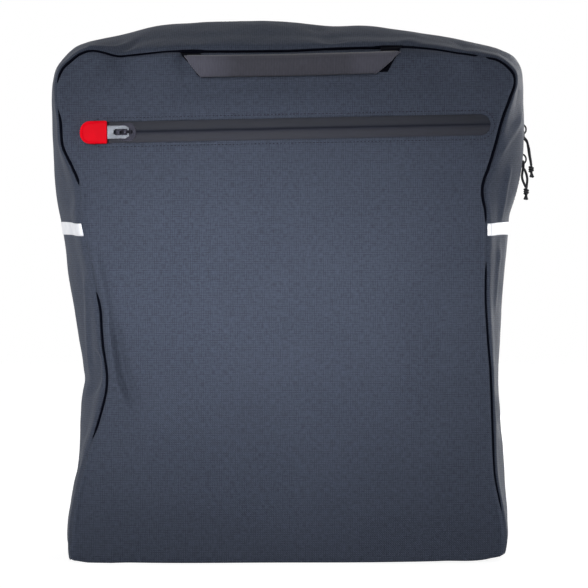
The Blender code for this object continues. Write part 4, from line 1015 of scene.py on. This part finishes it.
def seam_path(seam, y_of, sink, count):
    """A closed path round a seam, sunk into the bag; y_of gives its y from points of the seam."""
    u = np.linspace(0, AT_END, count, endpoint=False)
    on_seam = ring_at(seam, u)
    spot = on_seam - ring_out(u) * sink
    return joined(spot[:, 0], y_of(on_seam), np.maximum(spot[:, 1], SEAM_LOWEST))


front_path = seam_path(FRONT, lambda p: FRONT_Y - belly(p[:, 0], p[:, 1]), 0.0005, 560)
opened = gape(front_path[:, 0], front_path[:, 2])
# It lies deeper and is thinner where the seam is closed
front_path[:, 1] += mix(0.0040, 0.0033, opened)
back_path = seam_path(BACK, lambda p: BACK_Y - 0.0042, 0.0008, 420)
# Where the seam gapes the cord is thicker, so the painted shade shows as a broader dark line
for side, path, radius in (("front", front_path, mix(0.0006, 0.0015, opened)),
                           ("back", back_path, 0.0012)):
    cord = tube(f"{side}_seam_allowance_shade", path, radius, SEAM_SHADE_CORD, 8, closed=True)
    dress(cord, "bag", "binding_tape", f"{side}_seam_binding")


# Reflective strips

def make_strip(side, at, rise):
    """A strip right round a side, between the ring's places at the heights of its edges."""
    us = np.linspace(at - 8, at + 8, 65)
    level = ring_at(MIDDLE, us)[:, 1]
    order = np.argsort(level)
    edges = (STRIP_Z - STRIP_WIDTH / 2, STRIP_Z + STRIP_WIDTH / 2)
    ends = np.interp(edges, level[order], us[order])
    gusset_piece(f"reflective_tape_{side}", np.linspace(ends.min(), ends.max(), 9),
                 np.linspace(0.012, 0.988, 150), REFLECT, "reflective_tape",
                 f"reflective_strip_{side}", lift=STRIP_DEPTH, thickness=STRIP_DEPTH, rise=rise)


make_strip("left", AT_LEFT_STRIP, STRIP_RISE)
make_strip("right", AT_RIGHT_STRIP, -STRIP_RISE)


# Main zip: two films, and a coil on each that reaches a little past the middle of the slit

ZIP_ARCH = np.linspace(AT_LEFT_STRIP + 1, AT_RIGHT_STRIP - 1, 500)
SLIT = SLIT_HALF / DEPTH
for side, film, coil, deeper in (
        ("front", (BAND_FRONT - 0.03, BAND_MIDDLE - SLIT),
         (BAND_MIDDLE - SLIT * 3.2, BAND_MIDDLE + SLIT * 0.4), 0.0003),
        ("back", (BAND_MIDDLE + SLIT, BAND_BACK + 0.03),
         (BAND_MIDDLE - SLIT * 0.4, BAND_MIDDLE + SLIT * 3.2), 0.0)):
    gusset_piece(f"main_{side}_film", ZIP_ARCH, np.linspace(*film, 9), MAIN_TAPE, "coated_tape",
                 f"main_tape_{side}", lift=-SINK, thickness=FILM, detail=False)
    gusset_piece(f"main_{side}_coil", ZIP_ARCH, np.linspace(*coil, 4), COIL, "zip_plastic",
                 f"main_coil_{side}", lift=-SINK - COIL_SINK - deeper, thickness=0.0014, detail=False)

# The metal stops are clamped over both edges of the tape, at the foot of the zip on each side
for side, at, step in (("left", AT_LEFT_STRIP, 1), ("right", AT_RIGHT_STRIP, -1)):
    us = at + step * np.linspace(13.6, 15.4, 6)
    gusset_piece(f"main_stop_{side}_clamp", np.sort(us),
                 np.linspace(BAND_MIDDLE - 0.026, BAND_MIDDLE + 0.026, 8), BLACK_STEEL, "black_steel",
                 f"main_stop_{side}", lift=-SINK + 0.0006, thickness=0.0016, detail=False)


# Pocket zip tapes, in the tilted frame of the zip

def zip_points(along, across, out):
    """World points from places along and across the pocket zip and out of its plane."""
    x, z = tilted(ZIP_X, ZIP_Z, along, across)
    return joined(x, ZIP_Y - out, z)


def make_pocket_tape(side, level, finish):
    across, crown = np.array(TAPE_PROFILE).T
    along = np.linspace(-ZIP_HALF - 0.003, ZIP_HALF + 0.003, 240)
    a, b = np.meshgrid(along, across * side, indexing="ij")
    out = crown + 0.00005 * np.sin(a / 0.011) * np.sin(a / 0.0047 + side)
    # Its ends are rounded off under the panel
    a = a * (1 - 0.075 * np.clip((np.abs(b) - 0.005) / 0.0078, 0, 1) ** 2)
    sheet(f"pocket_film_{level}", zip_points(a, b, out), joined(a, b), finish, 0.0008, "bag",
          "coated_tape", f"pocket_tape_{level}", flip=side < 0)


make_pocket_tape(1, "upper", SHADED_UPPER_TAPE)
make_pocket_tape(-1, "lower", LIT_LOWER_TAPE)


# Stitching

def stitch_row(name, path, outward, pitch=0.0026):
    """Short capsules along a path, each sunk a little at its ends."""
    run = runs(path)
    hexagon = np.linspace(0, 2 * math.pi, 7)[:-1]
    bm = bmesh.new()
    for k in range(int(run[-1] / pitch)):
        centre = (k + 0.5) * pitch
        at = np.linspace(centre - STITCH_LENGTH / 2, centre + STITCH_LENGTH / 2, 5)
        face = sampled(outward, at, run)
        line = sampled(path, at, run) + face * (STITCH_RADIUS * np.array(STITCH_LIFT))[:, None]
        rings = []
        for i, size in enumerate(STITCH_SIZE):
            ahead = Vector(line[min(i + 1, 4)] - line[max(i - 1, 0)]).normalized()
            normal = Vector(face[i]).normalized()
            side = ahead.cross(normal)
            rings.append([bm.verts.new(Vector(line[i]) + STITCH_RADIUS * size * (
                normal * math.cos(a) + side * math.sin(a))) for a in hexagon])
        for one, two in zip(rings, rings[1:]):
            for j in range(6):
                bm.faces.new((one[j], one[(j + 1) % 6], two[(j + 1) % 6], two[j]))
        bm.faces.new(rings[0][::-1])
        bm.faces.new(rings[-1])
    bmesh.ops.recalc_face_normals(bm, faces=bm.faces[:])
    mesh = bpy.data.meshes.new(name)
    bm.to_mesh(mesh)
    bm.free()
    mesh.uv_layers.new(name="UVMap")
    return new_object(name, mesh, THREAD_AND_SHADE)


def stadium(half, radius, count=400):
    """Points along and across the zip on a stadium outline, evenly spaced."""
    straight = half - radius
    turn = 2 * straight + math.pi * radius
    points = []
    for d in np.linspace(0, 2 * turn, count):
        # The second half of the way round is the first one turned about the middle
        sign, rest = (-1, d - turn) if d >= turn else (1, d)
        a = math.pi / 2 - (rest - 2 * straight) / radius
        along, across = rest - straight, radius
        if rest >= 2 * straight:
            along, across = straight + radius * math.cos(a), radius * math.sin(a)
        points.append((sign * along, sign * across))
    return np.array(points)


around = stadium(ZIP_HALF + STITCH_OFFSET, ZIP_RADIUS + STITCH_OFFSET)
row = zip_points(around[:, 0], around[:, 1], 0.0)
row[:, 1] = panel_y(row[:, 0], row[:, 2]) + STITCH_DIP
dress(stitch_row("pocket_topstitch", row, np.tile((0.0, -1.0, 0.0), (len(row), 1))), "bag",
      "panel_fabric")

for side, share in (("front", BAND_FRONT - 0.024), ("back", BAND_BACK + 0.024)):
    us = np.linspace(AT_LEFT_STRIP + 3, AT_RIGHT_STRIP - 3, 900)
    out = joined(ring_out(us)[:, 0], 0, ring_out(us)[:, 1])
    row = gusset(us, np.full_like(us, share), lift=-0.0003)
    dress(stitch_row(f"main_{side}_stitch", row, out, pitch=0.003), "bag", "gusset_fabric")


# Handle

def handle_points(x, up):
    """X and z of a place on the strap: along the bag and up from the sewn-in ends."""
    sag = 0.0007 * np.cos(np.clip(x / HANDLE_HALF, -1, 1) * math.pi / 2) * smooth(-up / 0.005)
    world_x, world_z = tilted(HANDLE_X, HANDLE_TOP_Z, x, up)
    return world_x, world_z - sag


def handle_rest(world_x, world_z):
    """Y of the panel behind the handle; above the panel's edge it goes on as at the edge."""
    rest = panel_y(world_x, np.minimum(world_z, 0.362), detail=False)
    return np.minimum(rest, FRONT_Y - 0.0002)


def make_handle():
    """The strap between its two folded ends."""
    w = np.linspace(0, WEB_WIDTH, 13)[:, None]
    (left_top, left_foot), (right_top, right_foot) = HANDLE_ENDS
    left, right = mix(left_top, left_foot, w / WEB_WIDTH), mix(right_top, right_foot, w / WEB_WIDTH)
    x = np.linspace(left[:, 0], right[:, 0], 160, axis=1)
    # At both ends it lies over a near-black sheet of painted shade, and right at the fold it bends
    # down to it
    over = smooth((np.abs(x) - np.where(x < 0, -left_foot, right_foot) + 0.004) / 0.006)
    near = np.exp(-((np.abs(x) - np.where(x < 0, -left, right)) / 0.0012) ** 2)
    world_x, world_z = handle_points(x, -HANDLE_DROP - HANDLE_LEAN * w)
    bow = 0.0008 * np.sin(math.pi * w / WEB_WIDTH) + 0.0006 * (w / WEB_WIDTH)
    y = handle_rest(world_x, world_z) - GAP - 0.0019 * over - 0.0004 - bow * (1 - over) + near * 0.0006
    sheet("handle_strap", joined(world_x, y, world_z), joined(x, w), WEB, WEBBING, "handle",
          "handle_webbing", "handle_webbing", offset=1.0, flip=True)


def make_handle_shade_sheet(name, side, ends, beside):
    """A near-black sheet at each end, painted shade for the shadowed fold: it comes out of the seam
    and shows beside the fold.
    """
    down = np.linspace(0, 1, 24)[:, None]
    across = np.linspace(0, 1, 9)[None, :]
    x = mix(*ends, down) + side * mix(*beside, down) - side * mix(0.0150, 0.0070, down) * across
    up = mix(-0.0008, -HANDLE_DROP - HANDLE_LEAN * WEB_WIDTH + 0.0004, down)
    world_x, world_z = handle_points(x, up)
    y = handle_rest(world_x, world_z) - 0.0012 + 0.0046 * smooth((up + 0.0046) / 0.0034)
    sheet(f"handle_shade_sheet_{name}", joined(world_x, y, world_z), joined(up, x), HANDLE_SHADE_SHEET, 0.0010,
          "handle", "handle_webbing", offset=0.0, flip=side < 0)


make_handle()
make_handle_shade_sheet("left", -1, HANDLE_ENDS[0], (0.0046, 0.0017))
make_handle_shade_sheet("right", 1, HANDLE_ENDS[1], (0.0014, 0.0080))


# Rubber tab on the zip pull

def make_tab():
    low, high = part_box("pocket_pull_tab")
    centre = Vector([(a + b) / 2 for a, b in zip(low, high)])
    outline = []
    for side, up, r, start in ((-1, 1, TAB_ROUND, 90), (-1, -1, TAB_ROUND, 180),
                               (1, -1, TAB_CORNER, 270), (1, 1, TAB_CORNER, 0)):
        for a in np.radians(np.linspace(start, start + 90, 12)):
            outline.append((side * (TAB_LONG - r) + r * math.cos(a),
                            up * (TAB_WIDE - r) + r * math.sin(a)))
    outline = np.array(outline)
    rings = []
    for inset, out in TAB_PROFILE:
        ring = outline * (1 - inset / np.linalg.norm(outline, axis=1))[:, None]
        rings.append(joined(ring[:, 0], -out, ring[:, 1]))
    turn = np.array(Matrix.Rotation(-TILT, 3, "Y"))
    rings = np.array(rings) @ turn.T + np.array(centre)
    rings = np.concatenate([rings, rings[:, :1]], axis=1)
    tab = grid_object("pull_tab_rubber", rings, rings[..., ::2], RED)
    weld(tab.data, 1e-6, 0)
    tab.data.shade_smooth()
    tab.data.set_sharp_from_angle(angle=math.radians(50))
    dress(tab, "pocket_pull", "red_rubber", "pocket_pull_tab")


make_tab()


# Lining between the pocket and the main compartment

def make_lining():
    low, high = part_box("pocket_back_wall")
    z, x = np.meshgrid(np.linspace(high.z - 0.001, low.z + 0.001, 60),
                       np.linspace(low.x + 0.002, high.x - 0.002, 60), indexing="ij")
    share = np.abs(x) / high.x
    left, right = panel_sides(z)
    x = mix(np.maximum(left + 0.006, low.x), np.minimum(right - 0.006, high.x),
            (x - low.x) / (high.x - low.x))
    drop = smooth((high.z - z) / 0.015) * smooth((z - low.z) / 0.06)
    y = FRONT_Y - belly(x, z) * 0.97 + CLOTH + 0.0012 + 0.0056 * drop
    y = y + 0.0008 * drop * np.sin(x / 0.017) * np.sin(z / 0.031) * (1 - share)
    sheet("pocket_lining", joined(x, y, z), joined(x, z), LINING, 0.0006, "bag", "lining_cloth",
          "pocket_back_wall", flip=True)


make_lining()


# Solid parts that stay: finish, width of the rounded edges and names

for finish, edge, names in (
        (BOARD, 0.0003, ("back_board", "base_board")),
        (COIL, 0.0, ("pocket_teeth_upper", "pocket_teeth_lower")),
        (BODY_STEEL, 0.00022, ("pocket_slider", "pocket_stop_left", "pocket_stop_right")),
        (STEEL, 0.0002, ("pocket_pull",)),
        (BLACK_STEEL, 0.00022, ("main_slider_upper", "main_slider_lower")),
        (PLASTIC, 0.0005, ("hook_rail", "hook_left", "hook_right", "lower_rail", "lower_hook")),
        (LATCH, 0.0003, ("latch_left", "latch_right")),
        (ZINC, 0.0003, ("swivel_screw", "rail_screw_1", "rail_screw_2", "rail_screw_3", "rail_screw_4",
                        "lower_screw_1", "lower_screw_2"))):
    for name in names:
        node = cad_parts[name]
        node.data.materials.clear()
        node.data.materials.append(finish)
        if edge:
            bevel = node.modifiers.new("Edges", "BEVEL")
            bevel.width, bevel.segments = edge, 2
            bevel.limit_method, bevel.angle_limit = "ANGLE", math.radians(40)
            bevel.harden_normals = True


# Floor, light and view

def make_floor():
    """A grey floor; the camera and reflections see it glow white."""
    n = Finish("floor_white")
    n.set(Base_Color=(0.40, 0.40, 0.40, 1), Roughness=0.9, Specular_IOR_Level=0.1)
    glow = n.seen_as(n.add("Emission", Strength=0.90), n.add("Emission", Strength=0.0))
    total = n.add("AddShader", n.shader.outputs[0], glow)
    n.fill(n.nodes["Material Output"], Surface=total.outputs[0])
    mesh = bpy.data.meshes.new("floor")
    corners = [(-1, -1), (1, -1), (1, 1), (-1, 1)]
    mesh.from_pydata([(FLOOR_HALF * x, FLOOR_HALF * y, 0) for x, y in corners], [], [(0, 1, 2, 3)])
    floor = new_object("floor", mesh, n.material)
    floor.location.z = -0.0002


make_floor()


def lamp(name, kind, place, aim, power, **settings):
    data = bpy.data.lights.new(name, kind)
    data.energy = power
    for key, value in settings.items():
        setattr(data, key, value)
    light = linked(name, data)
    light.location = place
    light.rotation_euler = (Vector(aim) - Vector(place)).to_track_quat("-Z", "Y").to_euler()


def spot_lamp(name, aim, away, azimuth, elevation, cone, size, power):
    """A soft round pool of light on the aim, from an azimuth (left is negative) and elevation."""
    turn, lift = math.radians(azimuth), math.radians(elevation)
    towards = Vector((math.sin(turn) * math.cos(lift), -math.cos(turn) * math.cos(lift),
                      math.sin(lift)))
    lamp(name, "SPOT", Vector(aim) + away * towards, aim, power, spot_size=math.radians(cone),
         spot_blend=1.0, shadow_soft_size=size)


spot_lamp("key_left", (-0.100, -0.07, 0.198), 2.6, -15, 3, 7.8, 0.14, 226)
spot_lamp("key_right", (0.050, -0.07, 0.195), 2.6, -5, 2, 7.4, 0.14, 208)
spot_lamp("key_corner", (-0.135, -0.07, 0.325), 2.6, -18, 6, 3.4, 0.10, 96)
spot_lamp("key_wide", (-0.02, -0.07, 0.155), 2.8, -8, 6, 14.0, 0.22, 18)
lamp("left_fill", "AREA", (-1.9, -0.40, 0.30), (-0.15, 0, 0.2), 9, shape="DISK", size=0.9)
lamp("right_fill", "AREA", (1.9, -0.40, 0.30), (0.15, 0, 0.2), 10.5, shape="DISK", size=0.9)
lamp("back_key", "AREA", (0.9, 2.3, 0.5), (0, 0, 0.2), 18, shape="DISK", size=1.4)

# The world lights the bag softly, more from the sides than from above, and looks white
world = bpy.data.worlds.new("world")
bpy.context.scene.world = world
sky = Tree(world)
height = sky.add("SeparateXYZ", sky.add("TexCoord").outputs["Generated"]).outputs["Z"]
level = sky.add("MapRange", Value=height, From_Min=0.15, From_Max=0.85, To_Min=0.55, To_Max=0.06)
level.interpolation_type = "SMOOTHSTEP"
soft = sky.fill(sky.nodes["Background"], Color=(1, 1, 1, 1), Strength=level.outputs[0])
white = sky.add("Background", Color=(1, 1, 1, 1), Strength=1.0)
sky.fill(sky.nodes["World Output"], Surface=sky.seen_as(white, soft))
bpy.context.scene.view_settings.view_transform = "Standard"
